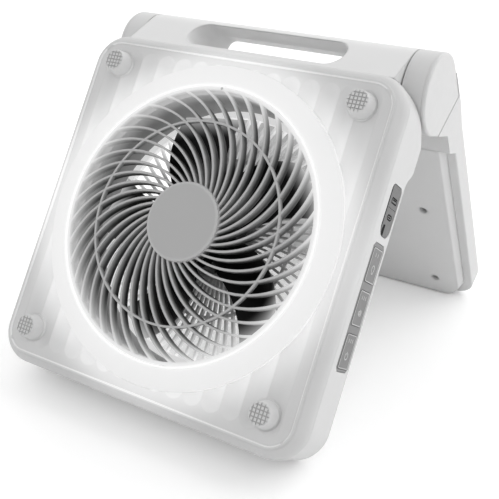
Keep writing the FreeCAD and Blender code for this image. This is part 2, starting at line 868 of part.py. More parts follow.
def rear_housing():
    body = new_body("rear_housing")
    outline = rounded_box(front_sketch(body, "housing_outline", d.bezel_depth), left_side, right_side,
                          -d.body_low, d.body_high, d.corner_round)
    pad(body, outline, d.body_depth - d.bezel_depth, True)
    bulge_top = d.axis_up - d.barrel_radius - d.bulge_top_gap
    pad(body, bulge_outline(side_sketch(body, "housing_bulge", left_side), bulge_top), d.body_width)

    def rear_edge(edge):
        """The rear outline up to the top of the bulge, along the swell at both sides."""
        sides = lies_at(edge, across=left_side) or lies_at(edge, across=right_side)
        below = edge.BoundBox.ZMin < bulge_top.value - d.slip.value
        if lies_at(edge, back=d.body_depth):
            return below and not lies_at(edge, up=d.bulge_foot)
        return sides and below and edge.BoundBox.YMin > d.body_depth.value - d.slip.value

    soften(body, d.standing_round, rear_edge)
    deep = rear_inside - d.bezel_depth
    shelf = d.axis_up - d.barrel_radius - d.knuckle_clear - 2 * d.wall
    low_room = rounded_box(front_sketch(body, "housing_low_room", d.bezel_depth), left_side + d.wall, inner_right,
                           d.wall - d.body_low, shelf, d.corner_round - d.wall)
    pocket(body, low_room, deep)
    side_room = d.handle_half - 2 * d.wall
    high_room = box(front_sketch(body, "housing_high_room", d.bezel_depth), -side_room, side_room,
                    zero, d.body_high - d.wall)
    pocket(body, high_room, deep)
    opening = circle(front_sketch(body, "housing_opening", d.bezel_depth), (0, 0), d.rear_open)
    pocket(body, opening, d.body_depth)
    posts = front_sketch(body, "housing_posts", d.bezel_depth)
    for place in case_screws:
        circle(posts, place, d.post_radius)
    pad(body, posts, rear_inside - d.bezel_depth + d.wall / 2, True)
    for side in (-1, 1):
        knuckle_cut(body, side)
    wells = front_sketch(body, "housing_wells", d.case_screw_seat)
    for place in case_screws:
        circle(wells, place, d.screw_well)
    pocket(body, wells, d.body_depth)
    holes = front_sketch(body, "housing_holes", d.bezel_depth)
    for place in case_screws:
        circle(holes, place, screw_hole)
    pocket(body, holes, d.case_screw_seat - d.bezel_depth + d.slip)
    # right wall: windows for the button strip and the socket cover, and posts for the board
    strip = strip_outline(side_sketch(body, "housing_strip_window", right_side + d.wall), d.slip)
    pocket(body, strip, 2 * d.wall + d.slip)
    window = cover_outline(side_sketch(body, "housing_cover_window", right_side + d.wall), d.cover_gap)
    pocket(body, window, 2 * d.wall + d.slip)
    pin_hole = circle(front_sketch(body, "housing_cover_pin", cover_middle - d.cover_pin_length / 2),
                      cover_axis, d.cover_pin + d.running_fit)
    pocket(body, pin_hole, d.cover_pin_length)
    stands = side_sketch(body, "housing_board_posts", board_outside)
    for place in board_screws:
        circle(stands, place, d.board_post)
    pad(body, stands, inner_right - board_outside + d.wall / 2)
    threads = side_sketch(body, "housing_board_holes", board_outside)
    for place in board_screws:
        circle(threads, place, screw_hole)
    pocket(body, threads, d.screw_tip, True)
    # left wall: sound slots
    slots = side_sketch(body, "housing_sound_slots", left_side - d.wall)
    middle = (d.bezel_depth + rear_inside) / 2
    half = (d.sound_slot_width / 2)
    for number in range(int(d.sound_slot_count.value)):
        shift = (number - (d.sound_slot_count - 1) / 2) * d.sound_slot_pitch
        box(slots, middle - d.sound_slot_length / 2, middle + d.sound_slot_length / 2, shift - half, shift + half)
    pocket(body, slots, 2 * d.wall + d.slip, True)
    # top wall: holes for the handle's screws
    uppers = top_sketch(body, "housing_handle_holes", d.body_high - 2 * d.wall)
    for place in handle_screws:
        circle(uppers, place, screw_hole)
    pocket(body, uppers, 3 * d.wall, True)
    return body


def handle():
    body = new_body("handle")
    barrel = circle(side_sketch(body, "handle_barrel", -d.handle_half), (d.axis_back, d.axis_up), d.barrel_radius)
    pad(body, barrel, 2 * d.handle_half)
    # the ramp leaves the bezel's rear edge and meets the barrel at a tangent
    run = d.axis_back - d.bezel_depth
    rise = d.axis_up - d.body_high
    span = run * run + rise * rise
    tangent = root(span - d.barrel_radius * d.barrel_radius)
    along = (run * tangent - rise * d.barrel_radius) / span
    upward = (rise * tangent + run * d.barrel_radius) / span
    touch = (d.bezel_depth + tangent * along, d.body_high + tangent * upward)
    ramp = polygon(side_sketch(body, "handle_ramp", -d.handle_half),
                   [(d.bezel_depth, d.body_high), (d.axis_back, d.body_high), (d.axis_back, d.axis_up), touch])
    pad(body, ramp, 2 * d.handle_half)
    room = box(side_sketch(body, "handle_body_room", d.handle_half), zero, d.body_depth, zero, d.body_high)
    pocket(body, room, 2 * d.handle_half)
    low = d.body_high + d.slot_floor
    high = low + d.slot_height
    end = d.slot_height / 2 - d.slip
    slot = rounded_box(front_sketch(body, "handle_slot", zero), -d.slot_half, d.slot_half, low, high, end)
    pocket(body, slot, d.axis_back + 2 * d.barrel_radius)
    # behind the hinge axis the slot's ceiling rises to the rear
    waist = rounded_box(front_sketch(body, "handle_slot_waist", d.axis_back), -d.slot_half, d.slot_half, low, high,
                        end)
    mouth = rounded_box(front_sketch(body, "handle_slot_mouth", d.axis_back + d.barrel_radius), -d.slot_half,
                        d.slot_half, low, high + d.slot_lift, end + d.slot_lift / 2)
    flare = feature(body, "SubtractiveLoft", "handle_slot_flare", waist)
    flare.Sections = [mouth]
    mouth.Visibility = False
    for side in (-1, 1):
        bore = circle(side_sketch(body, "handle_bore_%s" % ("right" if side > 0 else "left"), side * d.handle_half),
                      (d.axis_back, d.axis_up), d.pin_radius + d.running_fit)
        pocket(body, bore, d.pin_grip, side < 0)
    holes = top_sketch(body, "handle_holes", d.body_high)
    for place in handle_screws:
        circle(holes, place, screw_hole)
    pocket(body, holes, d.handle_screw_reach, True)
    return body


def rear_grille():
    body = new_body("rear_grille")
    rim = d.rear_open - d.slip
    lip = d.rear_open + d.rear_lip
    front = rear_inside - d.rear_lip_thick
    rib_front = d.body_depth - d.rib_depth
    plate_front = d.body_depth - d.motor_plate_thick
    inner = rim - d.rear_rim
    profile = polygon(side_sketch(body, "rear_side", zero),
                      [(plate_front, 0), (plate_front, d.motor_plate), (rib_front, d.motor_plate),
                       (rib_front, inner), (front, inner), (front, lip), (rear_inside, lip), (rear_inside, rim),
                       (d.body_depth, rim), (d.body_depth, 0)])
    revolve(body, profile)
    gap = front_sketch(body, "rear_gap", front)
    spiral_gap(gap, d.motor_plate + d.slip, inner, d.rib_curve, d.rib_centre, d.rib_thick, d.rib_count, -1)
    cut = pocket(body, gap, d.body_depth)
    around(body, cut, gap, d.rib_count)
    half = d.rear_ring_width / 2
    ring = box(side_sketch(body, "rear_ring", zero), d.body_depth - d.rib_depth / 2, d.body_depth,
               d.rear_ring - half, d.rear_ring + half)
    revolve(body, ring)
    holes = front_sketch(body, "rear_motor_holes", plate_front)
    for place in motor_screws():
        circle(holes, place, screw_hole)
    pocket(body, holes, 2 * d.motor_plate_thick)
    return body


def motor_screws():
    return [(d.motor_screw_circle * cosine(as_size(angle)), d.motor_screw_circle * sine(as_size(angle)))
            for angle in (90, 210, 330)]


def motor():
    body = new_body("motor")
    back = d.body_depth - d.motor_plate_thick
    front = back - d.motor_length
    pocket_radius = d.bearing_radius + d.slip
    bore = d.shaft_radius + d.slip
    profile = polygon(side_sketch(body, "motor_side", zero),
                      [(front, pocket_radius), (front, d.motor_radius), (back, d.motor_radius),
                       (back, pocket_radius), (back - d.bearing_length, pocket_radius),
                       (back - d.bearing_length, bore), (front + d.bearing_length, bore),
                       (front + d.bearing_length, pocket_radius)])
    revolve(body, profile)
    holes = front_sketch(body, "motor_holes", back)
    for place in motor_screws():
        circle(holes, place, screw_hole)
    pocket(body, holes, d.screw_tip, True)
    return body


def motor_bearings():
    body = new_body("motor_bearings")
    back = d.body_depth - d.motor_plate_thick
    front = back - d.motor_length
    for name, start in (("front", front), ("back", back - d.bearing_length)):
        bush = front_sketch(body, "bearing_" + name, start)
        circle(bush, (0, 0), d.bearing_radius)
        circle(bush, (0, 0), d.shaft_radius + d.running_fit)
        pad(body, bush, d.bearing_length, True)
    return body


def screws(label, places, kind, seat, tip, turned):
    """A group of pan-head screws: heads stand on the seat and shanks run from it to the tip."""
    body = new_body(label)
    shanks = kind(body, label + "_shanks", seat)
    heads = kind(body, label + "_heads", seat)
    for place in places:
        circle(shanks, place, d.screw_radius)
        circle(heads, place, d.screw_head)
    pad(body, shanks, tip, turned)
    pad(body, heads, d.screw_head_height, not turned)
    return body


def impeller():
    body = new_body("impeller")
    back = d.impeller_front + d.impeller_skirt
    cup = box(side_sketch(body, "impeller_hub", zero), d.impeller_front, back, zero, d.impeller_hub)
    revolve(body, cup)
    # each blade is lofted through three bowed sections and trimmed to a round tip
    sections = []
    middle = (d.impeller_hub + d.impeller_tip) / 2
    for name, across, half, shift in (("root", d.impeller_hub - 3 * d.impeller_wall, d.blade_root, zero),
                                      ("middle", middle, d.blade_middle, zero),
                                      ("end", d.impeller_tip + d.blade_thick, d.blade_end, -d.blade_sweep)):
        outline = side_sketch(body, "blade_" + name, across)
        rise = 2 * half
        run = d.blade_back - d.blade_front - d.blade_thick
        bend = (rise * rise + run * run) / (8 * d.blade_camber) + d.blade_camber / 2
        edges = []
        for offset in (zero, d.blade_thick):
            start = (d.blade_front + run + offset, shift - half)
            end = (d.blade_front + offset, shift + half)
            chord = spot(end) - spot(start)
            side_way = V(-chord.y, chord.x, 0) / chord.Length
            hub = (spot(start) + spot(end)) / 2 + side_way * (bend.value - d.blade_camber.value)
            angles = [math.atan2(point.y - hub.y, point.x - hub.x) for point in (spot(start), spot(end))]
            if angles[1] < angles[0]:
                angles[1] += 2 * math.pi
            edge = arc(outline, (hub.x, hub.y), bend, angles[0], angles[1])
            pin(outline, edge, 1, start)
            pin(outline, edge, 2, end)
            edges.append((edge, start, end))
        for end_number in (1, 2):
            tie = line(outline, edges[0][end_number], edges[1][end_number])
            join(outline, tie, 1, edges[0][0], end_number)
            join(outline, tie, 2, edges[1][0], end_number)
        sections.append(outline)
    doc.recompute()
    blade = feature(body, "AdditiveLoft", "blade_loft", sections[0])
    blade.Sections = sections[1:]
    middle_sketch = front_sketch(body, "impeller_middle", zero)
    circle(middle_sketch, (0, 0), d.impeller_hub)
    doc.recompute()
    around(body, blade, middle_sketch, d.blade_count)
    trim = box(side_sketch(body, "impeller_trim", zero), zero, d.body_depth, d.impeller_tip, 2 * d.impeller_tip)
    revolve(body, trim, "Groove")
    room = box(side_sketch(body, "impeller_room", zero), d.impeller_front + d.impeller_wall, d.body_depth, zero,
               d.impeller_hub - d.impeller_wall)
    revolve(body, room, "Groove")
    bore = circle(front_sketch(body, "impeller_bore", d.impeller_front), (0, 0), d.shaft_radius + d.running_fit)
    pocket(body, bore, d.impeller_wall + d.slip)
    return body


def motor_shaft():
    body = new_body("motor_shaft")
    rod = circle(front_sketch(body, "shaft_rod", d.shaft_front), (0, 0), d.shaft_radius)
    pad(body, rod, d.shaft_length, True)
    return body


def impeller_nut():
    body = new_body("impeller_nut")
    hexagon = front_sketch(body, "nut_hexagon", d.impeller_front)
    corners = []
    for angle in range(0, 360, 60):
        corners.append((d.nut_radius * cosine(as_size(angle)), d.nut_radius * sine(as_size(angle))))
    polygon(hexagon, corners)
    circle(hexagon, (0, 0), d.shaft_radius + d.running_fit)
    pad(body, hexagon, d.nut_length)
    return body


# Right wall

def button_window(drawing, up, grow):
    half = d.button_length / 2 + grow
    wide = d.button_width / 2 + grow
    return rounded_box(drawing, strip_middle - wide, strip_middle + wide, up - half, up + half,
                       d.button_round + grow)


def button_strip():
    body = new_body("button_strip")
    pad(body, strip_outline(side_sketch(body, "strip_plate", strip_inside), zero), right_side - strip_inside)
    pad(body, strip_outline(side_sketch(body, "strip_flange", strip_inside), d.strip_flange), d.strip_flange_thick)
    windows = side_sketch(body, "strip_windows", right_side)
    for up in button_ups:
        button_window(windows, up, d.button_gap)
    pocket(body, windows, right_side - strip_inside + d.slip)
    return body


def button(label, up):
    body = new_body(label)
    flange_outside = strip_inside - d.slip
    flange_inside = flange_outside - d.button_flange
    pad(body, button_window(side_sketch(body, label + "_key", flange_inside), up, zero),
        right_side + d.button_proud - flange_inside)
    pad(body, button_window(side_sketch(body, label + "_flange", flange_inside), up, d.button_flange + d.button_gap),
        d.button_flange)
    stem = circle(side_sketch(body, label + "_stem", flange_inside), (strip_middle, up), d.button_stem)
    pad(body, stem, d.button_stem_length, True)
    return body


def control_board():
    body = new_body("control_board")
    plate = box(side_sketch(body, "board_plate", board_inside), d.board_front, d.board_front + d.board_width,
                -d.board_low, d.board_high)
    pad(body, plate, d.board_thick)
    holes = side_sketch(body, "board_holes", board_outside)
    for place in board_screws:
        circle(holes, place, screw_hole)
    pocket(body, holes, 2 * d.board_thick)
    return body


def button_switches():
    body = new_body("button_switches")
    cases = side_sketch(body, "switch_cases", board_outside)
    half = d.switch_width / 2
    for up in button_ups:
        box(cases, strip_middle - half, strip_middle + half, up - half, up + half)
    pad(body, cases, d.switch_height)
    return body


def socket_block():
    body = new_body("socket_block")
    outside = inner_right - d.slip
    half = d.socket_length / 2
    middle = cover_axis[1] - d.cover_thick - 2 * d.slip - half
    block = box(side_sketch(body, "socket_case", board_outside), cover_middle - d.socket_width / 2,
                cover_middle + d.socket_width / 2, middle - half, middle + half)
    pad(body, block, outside - board_outside)
    mouths = side_sketch(body, "socket_mouths", outside)
    upper = middle + half - d.socket_a_length / 2 - d.wall / 2
    lower = middle - half + d.socket_c_length / 2 + d.wall / 2
    box(mouths, cover_middle - d.socket_a_width / 2, cover_middle + d.socket_a_width / 2,
        upper - d.socket_a_length / 2, upper + d.socket_a_length / 2)
    rounded_box(mouths, cover_middle - d.socket_c_width / 2, cover_middle + d.socket_c_width / 2,
                lower - d.socket_c_length / 2, lower + d.socket_c_length / 2, d.socket_c_width / 2 - 0.1)
    pocket(body, mouths, d.socket_depth)
    return body


def socket_cover():
    body = new_body("socket_cover")
    pad(body, cover_outline(side_sketch(body, "cover_plate", cover_inside), zero), d.cover_thick)
    groove = box(side_sketch(body, "cover_groove", cover_outside), d.cover_front - d.slip,
                 d.cover_front + d.cover_groove, d.cover_low - d.slip, cover_high + d.slip)
    pocket(body, groove, d.cover_groove_depth)
    notch = box(side_sketch(body, "cover_notch", cover_outside), d.cover_notch_front,
                d.cover_notch_front + d.cover_notch_width, d.cover_low - d.slip, d.cover_low + d.cover_notch_length)
    pocket(body, notch, d.cover_thick + d.slip)
    bore = circle(front_sketch(body, "cover_bore", d.cover_front), cover_axis, d.cover_pin + d.running_fit)
    pocket(body, bore, d.cover_width)
    return body


def cover_pin():
    body = new_body("cover_pin")
    start = cover_middle - d.cover_pin_length / 2 + d.slip
    rod = circle(front_sketch(body, "cover_pin_rod", start), cover_axis, d.cover_pin)
    pad(body, rod, d.cover_pin_length - 2 * d.slip, True)
    return body


def speaker():
    """Turned about the left wall's normal: the body stands on the wall's inner face."""
    body = new_body("speaker")
    middle = ((d.bezel_depth + rear_inside) / 2, zero)
    wall_face = left_side + d.wall
    frame = circle(side_sketch(body, "speaker_frame", wall_face), middle, d.speaker_radius)
    pad(body, frame, d.speaker_rim)
    hole = circle(side_sketch(body, "speaker_mouth", wall_face), middle, d.speaker_radius - d.speaker_rim)
    pocket(body, hole, d.speaker_rim / 2, True)
    magnet = circle(side_sketch(body, "speaker_magnet", wall_face + d.speaker_rim / 2), middle, d.speaker_magnet)
    pad(body, magnet, d.speaker_depth)
    return body


# Hinge

def end_name(side):
    return "right" if side > 0 else "left"


def hinge_pin(side):
    body = new_body("hinge_pin_" + end_name(side))
    start = d.handle_half - d.pin_grip
    rod = circle(side_sketch(body, body.Label + "_rod", side * start), (d.axis_back, d.axis_up), d.pin_radius)
    pad(body, rod, cap_inside - start - d.washer_gap, side < 0)
    return body


def friction_washer(side):
    body = new_body("friction_washer_" + end_name(side))
    ring = side_sketch(body, body.Label + "_ring", side * d.handle_half)
    circle(ring, (d.axis_back, d.axis_up), d.washer_radius)
    circle(ring, (d.axis_back, d.axis_up), d.pin_radius + d.slip)
    pad(body, ring, d.washer_thick, side < 0)
    return body


def cap_outline(drawing, grow):
    """A round end that runs down along the chin to a flat foot and straight up the rear."""
    radius = d.barrel_radius + grow
    corner = radius / root(as_size(2))
    drop = d.cap_drop + grow
    points = [(d.axis_back - corner, d.axis_up - corner), (d.axis_back + drop - 2 * corner, d.axis_up - drop),
              (d.axis_back + radius, d.axis_up - drop), (d.axis_back + radius, d.axis_up)]
    edges = [line(drawing, start, end) for start, end in zip(points, points[1:])]
    for number, edge in enumerate(edges):
        pin(drawing, edge, 1, points[number])
        if number:
            join(drawing, edges[number - 1], 2, edge, 1)
    pin(drawing, edges[-1], 2, points[-1])
    bend = arc(drawing, (d.axis_back, d.axis_up), radius, 0, math.pi * 5 / 4)
    join(drawing, bend, 1, edges[-1], 2)
    join(drawing, bend, 2, edges[0], 1)
    return drawing


def hinge_cap(side):
    body = new_body("hinge_cap_" + end_name(side))
    outline = cap_outline(side_sketch(body, body.Label + "_outline", side * cap_inside), zero)
    pad(body, outline, d.cap_thick, side < 0)
    soften(body, d.cap_edge, lambda e: lies_at(e, across=side * panel_half))
    return body


# Solar panel

def panel_shell():
    body = new_body("panel_shell")
    thick = d.panel_outer - d.panel_rim
    top = d.axis_up - d.panel_top
    plate = box(front_sketch(body, "panel_plate", rim_face), -panel_half, panel_half, panel_bottom, top)
    pad(body, plate, thick, True)
    soften(body, d.panel_corner,
           lambda e: lies_at(e, up=panel_bottom) and e.BoundBox.YLength > thick.value / 2)
    under = top.value - 1e-3
    soften(body, d.panel_rim_round, lambda e: lies_at(e, back=rim_face) and e.BoundBox.ZMin < under)
    soften(body, d.panel_edge, lambda e: lies_at(e, back=outer_face) and e.BoundBox.ZMin < under)
    corner = d.barrel_radius / root(as_size(2))
    chin = corner + corner + d.arm_inner
    bridge = box(front_sketch(body, "panel_bridge", tray_face), -panel_half, panel_half, d.axis_up - d.arm_reach,
                 d.axis_up - chin)
    pad(body, bridge, rim_face - tray_face + d.panel_rim_round, True)
    slope = d.panel_rim - d.arm_inner
    fairing_start = tray_half + d.tray_draft + d.slip
    for side in (-1, 1):
        arm = polygon(side_sketch(body, "panel_arm_" + end_name(side), side * knuckle_start),
                      [(d.axis_back, d.axis_up), (d.axis_back - corner, d.axis_up - corner),
                       (d.axis_back + d.arm_inner, d.axis_up - chin),
                       (d.axis_back + d.arm_inner, d.axis_up - d.arm_reach),
                       (outer_face - d.panel_edge, d.axis_up - d.arm_reach),
                       (outer_face, d.axis_up - d.panel_top - d.panel_edge),
                       (d.axis_back + d.barrel_radius, d.axis_up)])
        pad(body, arm, panel_half - knuckle_start, side < 0)
        fairing = polygon(side_sketch(body, "panel_fairing_" + end_name(side), side * fairing_start),
                          [(d.axis_back + d.arm_inner, d.axis_up - d.arm_reach),
                           (rim_face, d.axis_up - d.arm_reach - slope),
                           (rim_face + d.panel_rim_round, d.axis_up - d.arm_reach - slope),
                           (rim_face + d.panel_rim_round, d.axis_up - d.arm_reach)])
        pad(body, fairing, panel_half - fairing_start, side < 0)
        turn = circle(side_sketch(body, "panel_knuckle_" + end_name(side), side * knuckle_start),
                      (d.axis_back, d.axis_up), d.barrel_radius)
        pad(body, turn, panel_half - knuckle_start, side < 0)
        seat = cap_outline(side_sketch(body, "panel_cap_seat_" + end_name(side), side * panel_half), d.slip)
        pocket(body, seat, d.cap_thick, side < 0)
        bore = circle(side_sketch(body, "panel_bore_" + end_name(side), side * panel_half),
                      (d.axis_back, d.axis_up), d.pin_radius + d.running_fit)
        pocket(body, bore, panel_half, side < 0)
    inset = d.cavity_inset
    room = rounded_box(front_sketch(body, "panel_room", rim_face), inset - panel_half, panel_half - inset,
                       d.axis_up - d.cavity_low, d.axis_up - d.cavity_high, d.tray_corner - d.tray_wall)
    pocket(body, room, cavity_floor - rim_face)
    window = laminate_outline(front_sketch(body, "panel_window", outer_face), d.slip)
    pocket(body, window, d.laminate_thick + d.laminate_sunk, True)
    bosses = front_sketch(body, "panel_bosses", boss_meet)
    for place in tray_screws:
        circle(bosses, place, d.boss_radius)
    pad(body, bosses, cavity_floor - boss_meet + d.laminate_sunk, True)
    holes = front_sketch(body, "panel_boss_holes", boss_meet)
    for place in tray_screws:
        circle(holes, place, screw_hole)
    pocket(body, holes, cavity_floor - boss_meet)
    posts = front_sketch(body, "panel_board_posts", charge_face)
    for place in charge_posts:
        circle(posts, place, d.charge_post)
    pad(body, posts, d.charge_post_height + d.laminate_sunk, True)
    return body


def laminate_outline(drawing, grow):
    across = panel_half - d.laminate_inset + grow
    return rounded_box(drawing, -across, across, d.axis_up - d.laminate_low - grow,
                       d.axis_up - d.laminate_high + grow, d.laminate_corner + grow)


def solar_laminate():
    body = new_body("solar_laminate")
    floor = outer_face - d.laminate_sunk - d.laminate_thick
    pad(body, laminate_outline(front_sketch(body, "laminate_sheet", floor), zero), d.laminate_thick, True)
    return body


def panel_back():
    body = new_body("panel_back")
    low = d.axis_up - d.tray_low
    face = rounded_box(front_sketch(body, "tray_face_outline", tray_face), -tray_half, tray_half, low, tray_top,
                       d.tray_corner, zero)
    wide = tray_half + d.tray_draft
    foot_outline = rounded_box(front_sketch(body, "tray_foot_outline", rim_face), -wide, wide, low - d.tray_draft,
                               tray_top, d.tray_corner + d.tray_draft, zero)
    doc.recompute()
    tray = feature(body, "AdditiveLoft", "tray_loft", face)
    tray.Sections = [foot_outline]
    tray.Ruled = True
    foot_outline.Visibility = False
    inner = tray_half - d.tray_wall
    room = rounded_box(front_sketch(body, "tray_room", rim_face), -inner, inner, low + d.tray_wall,
                       tray_top - d.tray_wall, d.tray_corner - d.tray_wall)
    pocket(body, room, rim_face - tray_face - d.tray_wall, True)
    bosses = front_sketch(body, "tray_bosses", tray_face + d.tray_wall / 2)
    for place in tray_screws:
        circle(bosses, place, d.boss_radius)
    pad(body, bosses, boss_meet - tray_face - d.tray_wall / 2, True)
    wells = front_sketch(body, "tray_wells", tray_face)
    for place in tray_screws:
        circle(wells, place, d.screw_well)
    pocket(body, wells, tray_seat - tray_face)
    holes = front_sketch(body, "tray_holes", tray_seat)
    for place in tray_screws:
        circle(holes, place, screw_hole)
    pocket(body, holes, boss_meet - tray_seat + d.slip)
    return body


def battery_cells():
    body = new_body("battery_cells")
    for number, start in enumerate((-d.cell_length - d.cell_space / 2, d.cell_space / 2)):
        ends = side_sketch(body, "cell_ends_%d" % number, start)
        for up in cell_ups:
            circle(ends, (cell_back, up), d.cell_radius)
        pad(body, ends, d.cell_length)
    return body


def battery_holder():
    body = new_body("battery_holder")
    across = d.cell_length + d.cell_space / 2 + d.holder_wall
    low = cell_ups[1] - d.cell_radius - d.holder_wall
    high = cell_ups[0] + d.cell_radius + d.holder_wall
    base = box(front_sketch(body, "holder_base", cavity_floor - d.holder_height), -across, across, low, high)
    pad(body, base, d.holder_height, True)
    grooves = side_sketch(body, "holder_grooves", across)
    for up in cell_ups:
        circle(grooves, (cell_back, up), d.cell_radius + d.slip)
    pocket(body, grooves, 2 * across)
    return body


def charge_board():
    body = new_body("charge_board")
    middle = d.axis_up - d.charge_middle
    plate = box(front_sketch(body, "charge_plate", charge_face - d.charge_thick), -d.charge_width / 2,
                d.charge_width / 2, middle - d.charge_height / 2, middle + d.charge_height / 2)
    pad(body, plate, d.charge_thick, True)
    return body


# Pieces of each moving body

feet = []
for side, rise, label in ((-1, 1, "foot_top_left"), (1, 1, "foot_top_right"),
                          (-1, -1, "foot_bottom_left"), (1, -1, "foot_bottom_right")):
    feet.append((foot(label), V(side * d.foot_across.value, 0, rise * d.foot_up.value)))

fan_pieces = [front_bezel(), light_ring(), led_board(), fan_duct(), front_grille(), hub_cap(), rear_housing(),
              handle(), rear_grille(), motor(), motor_bearings(), button_strip(), control_board(),
              button_switches(), socket_block(), socket_cover(), cover_pin(), speaker()]
for label, up in zip(("button_light", "button_sound", "button_fan"), button_ups):
    fan_pieces.append(button(label, up))
for side in (-1, 1):
    fan_pieces.append(hinge_pin(side))
    fan_pieces.append(friction_washer(side))
fan_pieces.append(screws("case_screws", case_screws, front_sketch, d.case_screw_seat,
                         d.case_screw_seat - d.bezel_depth + d.screw_tip, False))
fan_pieces.append(screws("motor_screws", motor_screws(), front_sketch, d.body_depth,
                         d.motor_plate_thick + d.screw_tip - d.slip, False))
fan_pieces.append(screws("board_screws", board_screws, side_sketch, board_inside,
                         d.board_thick + d.screw_tip - d.slip, False))
fan_pieces.append(screws("handle_screws", handle_screws, top_sketch, d.body_high - d.wall,
                         d.wall + d.handle_screw_reach - d.slip, False))
spin_pieces = [impeller(), motor_shaft(), impeller_nut()]
panel_pieces = [panel_shell(), solar_laminate(), panel_back(), battery_cells(), battery_holder(), charge_board(),
                hinge_cap(-1), hinge_cap(1),
                screws("panel_screws", tray_screws, front_sketch, tray_seat,
                       cavity_floor - tray_seat - d.slip, True)]
doc.recompute()


# Lean and swing: the housing's rear lower edge and the panel's lower inner edge stand on the floor

hinge = V(0, d.axis_back.value, d.axis_up.value)
swing = FreeCAD.Rotation(V(1, 0, 0), d.open_angle.value)
fan_round = d.standing_round.value
rim_round = d.panel_rim_round.value
fan_heel = V(0, d.body_depth.value - fan_round, fan_round - d.body_low.value)
panel_heel = hinge + swing.multVec(V(0, d.panel_rim.value + rim_round, rim_round - d.panel_reach.value))
stride = panel_heel - fan_heel
lean = math.degrees(math.atan2(stride.z, stride.y) - math.asin((rim_round - fan_round) / stride.Length))
tilt = FreeCAD.Rotation(V(1, 0, 0), -lean)
floor_level = tilt.multVec(fan_heel).z - fan_round
fan_place = FreeCAD.Placement(V(0, 0, -floor_level), tilt)


def panel_turn():
    return FreeCAD.Placement(hinge - swing.multVec(hinge), swing)


def blade_turn():
    return FreeCAD.Placement(V(0, 0, 0), FreeCAD.Rotation(V(0, 1, 0), -d.blade_start.value))


def place_all(frame):
    for body in fan_pieces:
        body.Placement = frame
    for body, offset in feet:
        body.Placement = frame.multiply(FreeCAD.Placement(offset, FreeCAD.Rotation()))
    for body in spin_pieces:
        body.Placement = frame.multiply(blade_turn())
    for body in panel_pieces:
        body.Placement = frame.multiply(panel_turn())


nodes = fan_pieces + [body for body, offset in feet] + spin_pieces + panel_pieces
place_all(fan_place)
doc.recompute()
reach = FreeCAD.BoundBox()
for body in nodes:
    reach.add(body.Shape.optimalBoundingBox())
fan_place.Base = fan_place.Base - V(0, (reach.YMin + reach.YMax) / 2, 0)
place_all(fan_place)
doc.recompute()

for thing in doc.Objects:
    if "Invalid" in thing.State or "Error" in thing.State:
        raise ValueError("bad object " + thing.Name)
for body in nodes:
    if body.Shape.isNull() or not body.Shape.isValid():
        raise ValueError("bad shape " + body.Label)

os.makedirs("parts", exist_ok=True)
for body in nodes:
    body.Shape.exportStep("parts/%s.step" % body.Label)

print("lean %.3f degrees" % lean)
print("floor level to origin", [round(value, 4) for value in fan_place.Base])
print("size", [round(value, 3) for value in (reach.XLength, reach.YLength, reach.ZLength)])
print("hinge axis at", [round(value, 4) for value in fan_place.multVec(hinge)])
print("fan axis along", [round(value, 6) for value in tilt.multVec(V(0, 1, 0))],
      "through", [round(value, 4) for value in fan_place.multVec(V(0, 0, 0))])
pivot = V(cover_axis[0].value, cover_middle.value, cover_axis[1].value)
print("cover axis through", [round(value, 4) for value in fan_place.multVec(pivot)])
print("nodes", len(nodes))
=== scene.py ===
import json
import math
import bmesh
import bpy
from mathutils import Matrix, Vector


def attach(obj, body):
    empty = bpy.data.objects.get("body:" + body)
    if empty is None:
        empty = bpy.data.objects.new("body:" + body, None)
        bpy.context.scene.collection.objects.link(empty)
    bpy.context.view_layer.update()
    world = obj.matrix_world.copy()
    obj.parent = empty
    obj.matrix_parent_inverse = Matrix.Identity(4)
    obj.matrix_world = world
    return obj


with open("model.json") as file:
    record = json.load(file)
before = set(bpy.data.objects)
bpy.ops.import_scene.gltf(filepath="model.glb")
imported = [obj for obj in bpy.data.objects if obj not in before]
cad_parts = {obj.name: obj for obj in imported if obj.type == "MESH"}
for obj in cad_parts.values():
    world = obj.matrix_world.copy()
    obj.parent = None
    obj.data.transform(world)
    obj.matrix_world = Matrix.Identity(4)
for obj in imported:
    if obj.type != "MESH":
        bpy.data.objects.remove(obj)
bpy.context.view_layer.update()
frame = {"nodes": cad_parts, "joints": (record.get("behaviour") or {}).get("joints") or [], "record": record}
nodes = frame["nodes"]
joints = {joint["name"]: joint for joint in frame["joints"]}
scene = bpy.context.scene

# The fan's upright frame, in millimetres: x right, y to the rear, z up, origin on the axis at the face

MM = 0.001
ROTOR_DEPTH = 20.0
OPEN_ANGLE = 64.4

right = Vector((1, 0, 0))
axis = Vector(joints["impeller_spin"]["axis"])
origin = Vector(joints["impeller_spin"]["pos_m"]) - ROTOR_DEPTH * MM * axis
upward = right.cross(axis)
FAN = Matrix.Translation(origin) @ Matrix((right, axis, upward)).transposed().to_4x4()

# The panel's frame: the fan's, swung about the hinge to where the panel rests

hinge = Vector(joints["panel_fold"]["pos_m"])
opening = Matrix.Rotation(math.radians(OPEN_ANGLE), 4, "X")
PANEL = Matrix.Translation(hinge) @ opening @ Matrix.Translation(-hinge) @ FAN


def at(x, y, z, place=FAN):
    """A point given in millimetres in one of the two frames."""
    return place @ (Vector((x, y, z)) * MM)


# Camera, fitted to the photograph, with its focal length in pixels of the picture

PICTURE_SIDE = 499.0
FOCAL_LENGTH = 880.0
SENSOR = 36.0
CAMERA_PLACE = Matrix(((0.84772, -0.23461, 0.47574, 0.334293),
                       (0.43587, -0.20307, -0.87680, -0.516646),
                       (0.30231, 0.95064, -0.06989, -0.047024),
                       (0, 0, 0, 1)))

